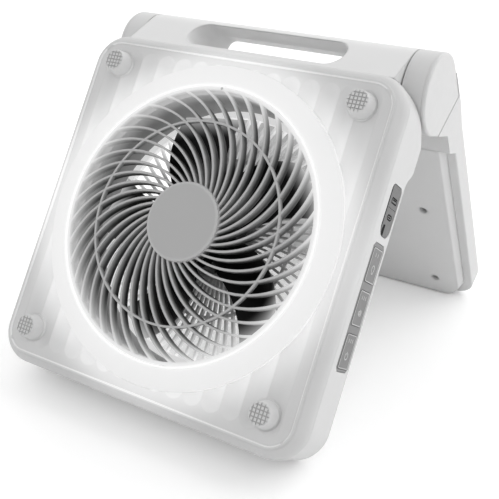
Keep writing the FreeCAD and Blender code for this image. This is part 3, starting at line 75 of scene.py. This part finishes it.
camera_data = bpy.data.cameras.new("camera")
camera_data.sensor_width = SENSOR
camera_data.lens = FOCAL_LENGTH / PICTURE_SIDE * SENSOR
camera = bpy.data.objects.new("camera", camera_data)
scene.collection.objects.link(camera)
scene.camera = camera
camera.matrix_world = FAN @ CAMERA_PLACE


# Materials

class Shader:
    """A node material with a principled shader and short calls for the nodes it needs."""

    def __init__(self, name, colour, rough, coat=0.0, metal=0.0):
        self.material = bpy.data.materials.new(name)
        self.material.use_nodes = True
        self.material.diffuse_color = colour + (1,)
        self.tree = self.material.node_tree
        self.body = self.tree.nodes["Principled BSDF"]
        self.set("Base Color", colour + (1,))
        self.set("Roughness", rough)
        self.set("Metallic", metal)
        self.set("Coat Weight", coat)
        self.where = self.node("ShaderNodeTexCoord").outputs["Object"]

    def node(self, kind, **values):
        made = self.tree.nodes.new(kind)
        for key, value in values.items():
            setattr(made, key, value)
        return made

    def set(self, socket, value):
        self.body.inputs[socket].default_value = value

    def link(self, start, end):
        self.tree.links.new(start, end)

    def into(self, socket, start):
        self.link(start, self.body.inputs[socket])

    def noise(self, scale, detail=2.0):
        made = self.node("ShaderNodeTexNoise")
        made.inputs["Scale"].default_value = scale
        made.inputs["Detail"].default_value = detail
        self.link(self.where, made.inputs["Vector"])
        return made.outputs["Fac"]

    def math(self, operation, *values):
        """A math node. Each value is a socket or a number."""
        made = self.node("ShaderNodeMath", operation=operation)
        for socket, value in zip(made.inputs, values):
            if isinstance(value, (int, float)):
                socket.default_value = value
            else:
                self.link(value, socket)
        return made.outputs[0]

    def vector(self, operation, *values):
        """A vector node. Each value is a socket or a fixed vector."""
        made = self.node("ShaderNodeVectorMath", operation=operation)
        for socket, value in zip(made.inputs, values):
            if isinstance(value, Vector):
                socket.default_value = value
            else:
                self.link(value, socket)
        return made.outputs["Value" if operation in ("DOT_PRODUCT", "LENGTH") else "Vector"]

    def spread(self, start, over, to, smooth=False):
        """A value, held between the two limits of over, stretched to the two limits of to."""
        made = self.node("ShaderNodeMapRange")
        made.interpolation_type = "SMOOTHSTEP" if smooth else "LINEAR"
        self.link(start, made.inputs["Value"])
        for socket, value in zip(("From Min", "From Max", "To Min", "To Max"), over + to):
            made.inputs[socket].default_value = value
        return made.outputs["Result"]

    def blend(self, amount, first, second):
        """Two colours, each a socket or a fixed one, mixed by an amount."""
        made = self.node("ShaderNodeMix", data_type="RGBA")
        self.link(amount, made.inputs["Factor"])
        colours = [socket for socket in made.inputs if socket.type == "RGBA"]
        for socket, value in zip(colours, (first, second)):
            if isinstance(value, tuple):
                socket.default_value = value + (1,)
            else:
                self.link(value, socket)
        return [socket for socket in made.outputs if socket.type == "RGBA"][0]

    def soft_normal(self, edge):
        """The way the surface faces, with its edges rounded by a radius."""
        made = self.node("ShaderNodeBevel", samples=4)
        made.inputs["Radius"].default_value = edge
        return made.outputs["Normal"]

    def bump(self, height, strength, distance=0.2 * MM, edge=0.0):
        made = self.node("ShaderNodeBump")
        made.inputs["Strength"].default_value = strength
        made.inputs["Distance"].default_value = distance
        self.link(height, made.inputs["Height"])
        if edge:
            self.link(self.soft_normal(edge), made.inputs["Normal"])
        self.into("Normal", made.outputs["Normal"])

    def steps(self, direction, base=origin):
        """Distance along a direction from a point, in metres."""
        return self.vector("DOT_PRODUCT", self.vector("SUBTRACT", self.where, base), direction)

    def outward(self):
        """The way from the fan axis to a point, in metres."""
        away = self.vector("SUBTRACT", self.where, origin)
        along = self.vector("DOT_PRODUCT", away, axis)
        return self.vector("SUBTRACT", away, self.vector("MULTIPLY", along, axis))

    def radius(self):
        """Distance of a point from the fan axis, in metres."""
        return self.vector("LENGTH", self.outward())

    def facing(self, edge):
        """How far the surface, its edges rounded, faces away from the fan axis, from -1 to 1."""
        way = self.vector("NORMALIZE", self.outward())
        return self.vector("DOT_PRODUCT", way, self.soft_normal(edge))

    def glow(self, strength):
        """White light of a strength that varies over the surface."""
        self.set("Emission Color", (1, 1, 1, 1))
        self.into("Emission Strength", strength)

    def painted_ring_light(self, start, end, strength, power=2.0):
        """Painted light from the ring: a glow that grows with the distance from the fan axis."""
        near = self.spread(self.radius(), over=(start, end), to=(0.0, strength))
        self.glow(self.math("POWER", near, power))


def grey(level):
    return (level, level, level)


def plastic(name, level, rough, grain=1400.0, relief=0.05, edge=0.4 * MM, clouded=True):
    """Moulded plastic: faint cloudy tone, uneven gloss and a fine spark-eroded grain."""
    cloud_scale, gloss_scale = 35.0, 220.0
    shader = Shader(name, grey(level), rough)
    if clouded:
        dim, pale = grey(level * 0.975), grey(level * 1.02)
        shader.into("Base Color", shader.blend(shader.noise(cloud_scale, 3.0), dim, pale))
    limits = (rough - 0.05, rough + 0.05)
    shader.into("Roughness", shader.spread(shader.noise(gloss_scale), over=(0.3, 0.7), to=limits))
    shader.bump(shader.noise(grain), relief, edge=edge)
    return shader


def metal(name, colour, rough):
    """Bare metal with a fine, uneven polish."""
    polish_scale, scratch_scale, scratch_depth = 900.0, 2600.0, 0.1 * MM
    shader = Shader(name, colour, rough, metal=1.0)
    limits = (rough - 0.08, rough + 0.1)
    shader.into("Roughness", shader.spread(shader.noise(polish_scale, 3.0), over=(0.3, 0.7), to=limits))
    shader.bump(shader.noise(scratch_scale), 0.06, scratch_depth)
    return shader


# Radius, from the fan axis, where the light ring ends and the bezel begins
RING_EDGE = 116.5 * MM


def frosted_bezel():
    """Frosted plastic with painted light from the ring, most where its flutes lean towards the ring, with
    painted highlights on its rim and flutes and painted shade at the ring's gap.
    """
    light_end, rim_start = 150.0 * MM, 118.5 * MM
    gap_start, gap_end = 116.9 * MM, 117.2 * MM
    broad_edge, fine_edge = 1.5 * MM, 1.0 * MM
    shader = plastic("frosted_bezel", level=0.60, rough=0.46, grain=1000.0, edge=2.0 * MM)
    # Painted light: the ring's glow, fading outwards and strongest where the surface leans towards the ring
    near = shader.spread(shader.radius(), over=(RING_EDGE, light_end), to=(1.0, 0.0), smooth=True)
    lean_in = shader.spread(shader.facing(broad_edge), over=(-0.6, 0.6), to=(0.34, 0.19))
    painted_ring_spill = shader.math("MULTIPLY", shader.math("POWER", near, 2.0), lean_in)
    # Painted highlight on the walls of the outer rim that face the ring
    aside = shader.math("ABSOLUTE", shader.steps(right))
    above = shader.math("ABSOLUTE", shader.steps(upward))
    on_rim = shader.math("GREATER_THAN", shader.math("MAXIMUM", aside, above), rim_start)
    rim_lean = shader.spread(shader.facing(fine_edge), over=(-0.5, -0.05), to=(0.18, 0.0))
    painted_rim_highlight = shader.math("MULTIPLY", rim_lean, on_rim)
    # Painted shading across the flutes, lighter on their sides that face the fan axis
    painted_flute_shading = shader.spread(shader.facing(fine_edge), over=(-0.6, 0.6), to=(0.10, 0.0))
    gap_shade = shader.spread(shader.radius(), over=(gap_start, gap_end), to=(-0.06, 0.0))
    total = painted_ring_spill
    for light in (painted_rim_highlight, painted_flute_shading, gap_shade):
        total = shader.math("ADD", total, light)
    shader.glow(total)
    return shader


def light_ring():
    """A lit opal diffuser with a brighter inner lip."""
    lip_start, lip_end = 100.8 * MM, 103.0 * MM
    band_start, seam_start = 102.0 * MM, 116.0 * MM
    grain, edge = 900.0, 0.6 * MM
    shader = Shader("light_ring", grey(0.72), rough=0.5)
    shader.bump(shader.noise(grain), 0.03, edge=edge)
    band = shader.spread(shader.radius(), over=(band_start, RING_EDGE), to=(0.27, 0.245))
    lip = shader.spread(shader.radius(), over=(lip_start, lip_end), to=(0.14, 0.0), smooth=True)
    seam = shader.spread(shader.radius(), over=(seam_start, RING_EDGE), to=(0.0, 0.02))
    shader.glow(shader.math("ADD", shader.math("ADD", band, lip), seam))
    return shader


def foot_plastic():
    """Soft grey feet, with painted shade in the grooves of the tread."""
    foot_aside, foot_above = 101.0 * MM, 104.7 * MM
    tread_radius, groove_start = 6.9 * MM, -9.5 * MM
    level, groove_shade_level = 0.66, 0.46
    shader = plastic("foot_plastic", level, rough=0.45, edge=0.2 * MM, clouded=False)
    aside = shader.math("SUBTRACT", shader.math("ABSOLUTE", shader.steps(right)), foot_aside)
    above = shader.math("SUBTRACT", shader.math("ABSOLUTE", shader.steps(upward)), foot_above)
    squares = [shader.math("MULTIPLY", length, length) for length in (aside, above)]
    off_centre = shader.math("SQRT", shader.math("ADD", *squares))
    # Painted shade: the sunken parts of the tread are darker, standing for the shade in its grooves
    on_tread = shader.math("LESS_THAN", off_centre, tread_radius)
    sunk = shader.math("GREATER_THAN", shader.steps(axis), groove_start)
    painted_groove_shade = shader.math("MULTIPLY", on_tread, sunk)
    shader.into("Base Color", shader.blend(painted_groove_shade, grey(level), grey(groove_shade_level)))
    return shader


def vane_grey():
    """Grille plastic with painted shade that darkens it with depth, and painted light from the ring near its
    outer ends.
    """
    front, back = -4.8 * MM, -0.2 * MM
    level, deep_shade_level = 0.46, 0.045
    shader = plastic("vane_grey", level, rough=0.38, clouded=False)
    # Painted shade: darker towards the back of the vanes, standing for the shade deep in the grille
    depth = shader.spread(shader.steps(axis), over=(front, back), to=(0.0, 1.0))
    shader.into("Base Color", shader.blend(depth, grey(level), grey(deep_shade_level)))
    # Painted light from the ring on the vanes' outer ends
    shader.painted_ring_light(76.0 * MM, 101.0 * MM, strength=0.80, power=2.2)
    return shader


def hub_grey():
    """The hub cap, with a painted highlight along its rim."""
    rim_start, rim_end = 26.2 * MM, 27.2 * MM
    face_level, rim_highlight_level = 0.435, 0.50
    shader = plastic("hub_grey", level=0.43, rough=0.42, clouded=False)
    # Painted highlight: a paler band along the cap's rim
    rim = shader.spread(shader.radius(), over=(rim_start, rim_end), to=(0.0, 1.0))
    shader.into("Base Color", shader.blend(rim, grey(face_level), grey(rim_highlight_level)))
    return shader


def duct_grey():
    """The duct wall, with painted light from the ring at its front."""
    front, back = 6.0 * MM, 24.0 * MM
    shader = plastic("duct_grey", level=0.38, rough=0.45)
    shader.glow(shader.spread(shader.steps(axis), over=(front, back), to=(0.20, 0.0), smooth=True))
    return shader


def rear_grey():
    """The rear grille, with painted light from the ring towards its edge."""
    shader = plastic("rear_grey", level=0.46, rough=0.45)
    shader.painted_ring_light(50.0 * MM, 92.0 * MM, strength=0.75)
    return shader


def impeller_black():
    """Deep black blades, with painted light from the ring at their tips."""
    shader = plastic("impeller_black", level=0.006, rough=0.42, edge=0.0)
    shader.set("Specular IOR Level", 0.12)
    shader.painted_ring_light(72.0 * MM, 90.0 * MM, strength=0.80)
    return shader


def dark_print_and_shade():
    """Dull black for print, and for painted shade on the socket cover."""
    shader = plastic("dark_print_and_shade", level=0.012, rough=0.75, edge=0.0)
    shader.set("Specular IOR Level", 0.1)
    return shader


def board_green():
    """Lacquered circuit board with a woven tone."""
    weave_scale, grain = 400.0, 1500.0
    shader = Shader("board_green", (0.02, 0.16, 0.07), rough=0.35)
    weave = shader.noise(weave_scale, 3.0)
    shader.into("Base Color", shader.blend(weave, (0.015, 0.12, 0.05), (0.03, 0.2, 0.09)))
    shader.bump(shader.noise(grain), 0.1)
    return shader


def cell_sleeve():
    """Blue shrink sleeve around the battery cells."""
    cloud_scale = 60.0
    shader = plastic("cell_sleeve", level=0.2, rough=0.3, clouded=False)
    cloud = shader.noise(cloud_scale)
    shader.into("Base Color", shader.blend(cloud, (0.03, 0.10, 0.22), (0.04, 0.13, 0.27)))
    return shader


def line_every(shader, distance, pitch, width):
    """1 on lines of a width that repeat at a pitch, and 0 between them."""
    return shader.math("LESS_THAN", shader.math("PINGPONG", distance, pitch / 2), width / 2)


def solar_glass():
    """Rows of dark cells with bright gaps, fine fingers and bus bars under a clear film."""
    column, row, gap_width = 40.5 * MM, 35.58 * MM, 1.2 * MM
    bar_shift, bar_pitch, bar_width = 6.7 * MM, 13.5 * MM, 0.6 * MM
    finger_pitch, finger_width, finger_share = 1.7 * MM, 0.18 * MM, 0.45
    sheet_back, sheet_up = 84.0, -12.85
    cloud_scale, grain = 90.0, 500.0
    shader = Shader("solar_glass", (0.012, 0.018, 0.045), rough=0.25, coat=0.2)
    shader.set("Specular IOR Level", 0.3)
    panel_up = (PANEL.to_3x3() @ Vector((0, 0, 1))).normalized()
    centre = at(0, sheet_back, sheet_up, PANEL)
    across, down = shader.steps(right, centre), shader.steps(panel_up, centre)
    gaps = [line_every(shader, across, column, gap_width), line_every(shader, down, row, gap_width)]
    bars = line_every(shader, shader.math("ADD", across, bar_shift), bar_pitch, bar_width)
    fingers = line_every(shader, down, finger_pitch, finger_width)
    cells = shader.blend(shader.noise(cloud_scale, 4.0), (0.008, 0.013, 0.040), (0.016, 0.026, 0.070))
    cells = shader.blend(shader.math("MULTIPLY", fingers, finger_share), cells, (0.25, 0.27, 0.32))
    cells = shader.blend(bars, cells, (0.42, 0.43, 0.46))
    cells = shader.blend(shader.math("MAXIMUM", *gaps), cells, (0.55, 0.56, 0.58))
    shader.into("Base Color", cells)
    shader.bump(shader.noise(grain), 0.02)
    return shader


def key_plastic(name, level):
    """The coarser plastic of the buttons, their strip and the socket cover."""
    return plastic(name, level, rough=0.5, grain=1800.0, relief=0.06)


dark = plastic("dark_plastic", level=0.03, rough=0.45)
mark = plastic("mark_light", level=0.58, rough=0.5, edge=0.0)
print_and_painted_shade = dark_print_and_shade()
key = key_plastic("key_grey", level=0.20)
cap = plastic("white_cap", level=0.66, rough=0.42, edge=1.2 * MM)

# One look for each material slot of the record, and a few nodes with a look of their own
slot_looks = {
    "white_shell": plastic("white_shell", level=0.66, rough=0.42, edge=0.5 * MM),
    "frosted_bezel": frosted_bezel(),
    "light_ring": light_ring(),
    "foot_plastic": foot_plastic(),
    "vane_grey": vane_grey(),
    "hub_grey": hub_grey(),
    "rear_grey": rear_grey(),
    "duct_grey": duct_grey(),
    "impeller_black": impeller_black(),
    "control_grey": key_plastic("control_grey", level=0.22),
    "tray_grey": plastic("white_tray", level=0.70, rough=0.44, edge=4.0 * MM),
    "solar_glass": solar_glass(),
    "board_green": board_green(),
    "steel": metal("steel", (0.60, 0.60, 0.62), rough=0.32),
    "brass": metal("brass", (0.72, 0.52, 0.25), rough=0.35),
    "black_plastic": dark,
    "cell_sleeve": cell_sleeve(),
}
node_looks = {
    "button_light": key,
    "button_sound": key,
    "button_fan": key,
    # Painted light: the shell's white plastic made paler, standing for the brighter light on the handle
    "handle": plastic("lit_white_handle", level=0.75, rough=0.42, edge=2.5 * MM),
    "panel_screws": metal("black_zinc", (0.12, 0.12, 0.13), rough=0.4),
    "socket_cover": key_plastic("cover_grey", level=0.15),
    "hinge_cap_left": cap,
    "hinge_cap_right": cap,
}
for part in frame["record"]["subparts"]:
    look = node_looks.get(part["node"], slot_looks[part["material_slot"]])
    materials = nodes[part["node"]].data.materials
    materials.clear()
    materials.append(look.material)


# Pieces in mesh code

def add_mesh(name, mesh_builder, shader, body):
    mesh = bpy.data.meshes.new(name)
    build = bmesh.new()
    mesh_builder(build)
    bmesh.ops.recalc_face_normals(build, faces=build.faces)
    build.to_mesh(mesh)
    build.free()
    thing = bpy.data.objects.new(name, mesh)
    scene.collection.objects.link(thing)
    mesh.materials.append(shader.material)
    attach(thing, body)


def stroke_edges(points, closed, width):
    """The two edge points beside each point of a line of the given width, mitred at its corners."""
    sharpest = 0.35
    count = len(points)
    edges = []
    for number in range(count):
        here = Vector(points[number])
        before = Vector(points[number - 1]) if closed or number else None
        after = Vector(points[(number + 1) % count]) if closed or number < count - 1 else None
        first = (here - before).normalized() if before else (after - here).normalized()
        second = (after - here).normalized() if after else first
        normal = Vector((-(first + second).y, (first + second).x)).normalized()
        reach = width / 2 / max(sharpest, normal.dot(Vector((-first.y, first.x))))
        edges.append((here + normal * reach, here - normal * reach))
    return edges


def ribbons(strokes, width, low, high):
    """Flat strokes along (y, z) points, each a closed or open line, between two planes of constant x."""
    def build(work):
        for points, closed in strokes:
            rows = []
            for pair in stroke_edges(points, closed, width):
                rows.append([work.verts.new(at(x, p.x, p.y)) for x in (low, high) for p in pair])
            count = len(rows)
            for number in range(count if closed else count - 1):
                a, b = rows[number], rows[(number + 1) % count]
                for one, two in ((2, 3), (0, 2), (3, 1), (1, 0)):
                    work.faces.new((a[one], a[two], b[two], b[one]))
            if not closed:
                for row in (rows[0], rows[-1]):
                    work.faces.new((row[0], row[1], row[3], row[2]))
    return build


def skin(work, rows):
    """Join closed rows of points, one after another, and close both ends."""
    for low, high in zip(rows, rows[1:]):
        for number in range(len(low)):
            after = (number + 1) % len(low)
            work.faces.new((low[number], low[after], high[after], high[number]))
    work.faces.new(rows[0])
    work.faces.new(rows[-1])


def plate(outline, low, high):
    """A flat plate with a (y, z) outline, between two planes of constant x."""
    def build(work):
        skin(work, [[work.verts.new(at(x, y, z)) for y, z in outline] for x in (low, high)])
    return build


def crosses(places, face, way, place):
    """A cross on each screw head, on a plane of constant y that faces the given way."""
    arm, half = 1.9, 0.35
    sunk, proud = -0.03, 0.04
    corner = [(half, half), (half, arm), (-half, arm)]
    outline = []
    for quarter in range(4):
        outline += corner
        corner = [(-b, a) for a, b in corner]

    def build(work):
        for x, z in places:
            skin(work, [[work.verts.new(at(x + a, face + way * depth, z + b, place)) for a, b in outline]
                        for depth in (sunk, proud)])
    return build


def turned(profile, x, z, count=20):
    """A small turned piece on the front of the fan, its profile given as (radius, y)."""
    turns = [2 * math.pi * number / count for number in range(count)]

    def build(work):
        skin(work, [[work.verts.new(at(x + radius * math.cos(turn), y, z + radius * math.sin(turn)))
                     for turn in turns] for radius, y in profile])
    return build


def cut_box(centre, half_deep, half_high, cut):
    """A (y, z) box with cut corners."""
    (y, z), a, b = centre, half_deep, half_high
    return [(y - a + cut, z - b), (y + a - cut, z - b), (y + a, z - b + cut), (y + a, z + b - cut),
            (y + a - cut, z + b), (y - a + cut, z + b), (y - a, z + b - cut), (y - a, z - b + cut)]


def arc(centre, radius, start, end, count=24):
    """Points (y, z) along part of a circle, between two angles in degrees."""
    turns = [math.radians(start + (end - start) * number / (count - 1)) for number in range(count)]
    return [(centre[0] + radius * math.cos(turn), centre[1] + radius * math.sin(turn)) for turn in turns]


# Frames, bars and symbols on the three buttons

KEY_FACE = 130.3
STRIP_FRONT, STRIP_WIDTH = 19.6, 21.4
KEY_MIDDLE = STRIP_FRONT + STRIP_WIDTH / 2
KEY_UPS = (7.9, -21.6, -51.1)
KEY_BODIES = ("light_key", "sound_key", "fan_key")
FRAME_HALF_DEEP, FRAME_HALF_HIGH, FRAME_CUT = 8.35, 11.35, 1.0
TWO_BARS, THREE_BARS = (-2.1, 2.1), (-3.2, 0.0, 3.2)
BAR_LOW, BAR_HIGH = 6.0, 8.6
SYMBOL_DROP = 3.0
MARK_WIDTH, MARK_SUNK, MARK_PROUD = 0.55, 0.05, 0.06


def bulb_symbol(y, z):
    return [(arc((y, z + 0.8), 2.3, -50, 230), False),
            ([(y - 1.5, z - 1.0), (y - 1.1, z - 2.3)], False),
            ([(y + 1.5, z - 1.0), (y + 1.1, z - 2.3)], False),
            ([(y - 1.1, z - 2.5), (y + 1.1, z - 2.5)], False)]


def sound_symbol(y, z):
    horn = [(y - 2.0, z - 0.8), (y - 2.0, z + 0.8), (y - 1.0, z + 0.8),
            (y + 0.2, z + 1.9), (y + 0.2, z - 1.9), (y - 1.0, z - 0.8)]
    waves = [(arc((y + 0.2, z), radius, -50, 50, 12), False) for radius in (1.5, 2.6)]
    return [(horn, True)] + waves


def power_symbol(y, z):
    return [(arc((y, z), 2.4, 120, 420), False), ([(y, z + 0.6), (y, z + 3.0)], False)]


def key_marks(name, strokes, body):
    shape = ribbons(strokes, MARK_WIDTH, KEY_FACE - MARK_SUNK, KEY_FACE + MARK_PROUD)
    add_mesh(name, shape, mark, body)


for body, up, shifts in zip(KEY_BODIES, KEY_UPS, (TWO_BARS, THREE_BARS, THREE_BARS)):
    strokes = [(cut_box((KEY_MIDDLE, up), FRAME_HALF_DEEP, FRAME_HALF_HIGH, FRAME_CUT), True)]
    for y in [KEY_MIDDLE + shift for shift in shifts]:
        strokes.append(([(y, up + BAR_LOW), (y, up + BAR_HIGH)], False))
    key_marks(body + "_frame", strokes, body)
for body, up, symbol in zip(KEY_BODIES, KEY_UPS, (bulb_symbol, sound_symbol, power_symbol)):
    key_marks(body + "_icon", symbol(KEY_MIDDLE, up - SYMBOL_DROP), body)


# Port marks and divider printed on the socket cover, with painted shade along its front edge and over its
# finger notch

COVER_FACE = 129.8
PRINT_DEPTH = 0.05
PORT_WIDTH, DIVIDER_WIDTH, EDGE_SHADE_WIDTH = 1.0, 0.35, 1.6
DASH_START, DASH_PITCH, DASH_LENGTH, DASH_UP, DASH_COUNT = 25.2, 3.2, 2.2, 47.9, 5

print_planes = (COVER_FACE - PRINT_DEPTH, COVER_FACE + PRINT_DEPTH)
edge_shade_planes = (COVER_FACE - 0.88, COVER_FACE - 0.03)
notch_shade_planes = (COVER_FACE - 0.4, COVER_FACE + 0.04)
large_port, large_tongue = cut_box((32.6, 53.4), 4.6, 1.7, 0.3), [(29.6, 53.9), (35.6, 53.9)]
small_port, small_tongue = cut_box((32.6, 41.9), 4.2, 1.5, 1.3), [(30.4, 41.9), (34.8, 41.9)]
ports = [(large_port, True), (large_tongue, False), (small_port, True), (small_tongue, False)]
dash_starts = [DASH_START + DASH_PITCH * number for number in range(DASH_COUNT)]
dashes = [([(start, DASH_UP), (start + DASH_LENGTH, DASH_UP)], False) for start in dash_starts]
# Painted shade: a dark strip along the cover's front edge and a dark plate over its finger notch stand for
# the shade in them
edge_shade = [([(22.95, 35.6), (22.95, 59.4)], False)]
notch = [(25.0, 31.0), (25.6, 29.9), (27.0, 28.9), (29.6, 28.9), (29.6, 36.2), (27.6, 36.2), (25.4, 33.4)]
for name, shape in (("cover_port_marks", ribbons(ports, PORT_WIDTH, *print_planes)),
                    ("cover_divider", ribbons(dashes, DIVIDER_WIDTH, *print_planes)),
                    ("cover_edge_shade", ribbons(edge_shade, EDGE_SHADE_WIDTH, *edge_shade_planes)),
                    ("cover_notch_shade", plate(notch, *notch_shade_planes))):
    add_mesh(name, shape, print_and_painted_shade, "cover")


# Dark crosses on the screw heads, painted shade for their cross recesses, and the small pin in the grille's
# rim

MOTOR_CIRCLE = 13.0
HINGE_UP = 137.4
MOTOR_HEADS, CASE_HEADS, PANEL_HEADS = 50.4, 29.4, 62.9
TO_REAR, TO_FRONT = 1, -1
PIN_ASIDE, PIN_UP = -4.0, 98.3

mirror = (-1, 1)
motor_turns = [math.radians(turn) for turn in (90, 210, 330)]
motor_places = [(MOTOR_CIRCLE * math.cos(turn), MOTOR_CIRCLE * math.sin(turn)) for turn in motor_turns]
case_places = [(side * x, z) for side in mirror for x, z in ((112, -114), (116, 88))]
panel_drops = ((60, 86), (101, 140), (101, 238))
panel_places = [(side * x, HINGE_UP - drop) for side in mirror for x, drop in panel_drops]
# The crosses are dark plastic, painted shade standing for the recesses of the screw drives
for name, shape, body in (
        ("motor_screw_drive_shade", crosses(motor_places, MOTOR_HEADS, TO_REAR, FAN), "fan_body"),
        ("case_screw_drive_shade", crosses(case_places, CASE_HEADS, TO_REAR, FAN), "fan_body"),
        ("panel_screw_drive_shade", crosses(panel_places, PANEL_HEADS, TO_FRONT, PANEL), "solar_panel")):
    add_mesh(name, shape, dark, body)

pin_profile = ((1.0, -3.9), (1.0, -4.25), (0.8, -4.4), (0.55, -4.4), (0.45, -4.2))
add_mesh("grille_rim_pin", turned(pin_profile, PIN_ASIDE, PIN_UP), mark, "fan_body")


# Stage: a wide pale floor and a white surrounding, with even light and two soft distant lamps

FLOOR_SIDE, FLOOR_LIFT = 14.0, 0.15
PAPER_SCALE = 3.0
SKY_LEVEL, SKY_SLOPE = 1.04, (-0.45, 0.50, -0.45)
LAMP_SPREAD = 60.0

bpy.ops.mesh.primitive_plane_add(size=FLOOR_SIDE, location=(0, 0, 0))
floor = bpy.context.object
floor.name = "floor"
paper = Shader("floor_paper", grey(0.97), rough=0.6)
paper.into("Base Color", paper.blend(paper.noise(PAPER_SCALE), grey(0.965), grey(0.975)))
floor.data.materials.append(paper.material)


def seen_directly(tree):
    """1 on rays that reach the eye, straight or by gloss and glass, and 0 on the rest."""
    rays = tree.nodes.new("ShaderNodeLightPath")
    found = rays.outputs["Is Camera Ray"]
    for name in ("Is Glossy Ray", "Is Transmission Ray"):
        either = tree.nodes.new("ShaderNodeMath")
        either.operation = "MAXIMUM"
        tree.links.new(found, either.inputs[0])
        tree.links.new(rays.outputs[name], either.inputs[1])
        found = either.outputs[0]
    return found


paper.glow(paper.math("MULTIPLY", seen_directly(paper.tree), FLOOR_LIFT))

world = bpy.data.worlds.new("studio")
scene.world = world
world.use_nodes = True
tree = world.node_tree
direction = tree.nodes.new("ShaderNodeTexCoord")
slope = tree.nodes.new("ShaderNodeVectorMath")
slope.operation = "DOT_PRODUCT"
tree.links.new(direction.outputs["Generated"], slope.inputs[0])
slope.inputs[1].default_value = SKY_SLOPE
shade = tree.nodes.new("ShaderNodeMath")
shade.operation = "ADD"
tree.links.new(slope.outputs["Value"], shade.inputs[0])
shade.inputs[1].default_value = SKY_LEVEL
level = tree.nodes.new("ShaderNodeMapRange")
tree.links.new(seen_directly(tree), level.inputs["Value"])
tree.links.new(shade.outputs[0], level.inputs["To Min"])
level.inputs["To Max"].default_value = 1.0
background = tree.nodes["Background"]
background.inputs["Color"].default_value = (1, 1, 1, 1)
tree.links.new(level.outputs["Result"], background.inputs["Strength"])


def lamp(name, direction, power):
    """A distant soft lamp that shines along a direction."""
    data = bpy.data.lights.new(name, "SUN")
    data.angle = math.radians(LAMP_SPREAD)
    data.energy = power
    thing = bpy.data.objects.new(name, data)
    scene.collection.objects.link(thing)
    thing.rotation_euler = Vector(direction).to_track_quat("-Z", "Y").to_euler()


lamp("rear", (-0.6, -0.9, -0.9), 0.92)
lamp("side", (-0.7, 0.5, -0.8), 0.72)

scene.view_settings.view_transform = "Standard"
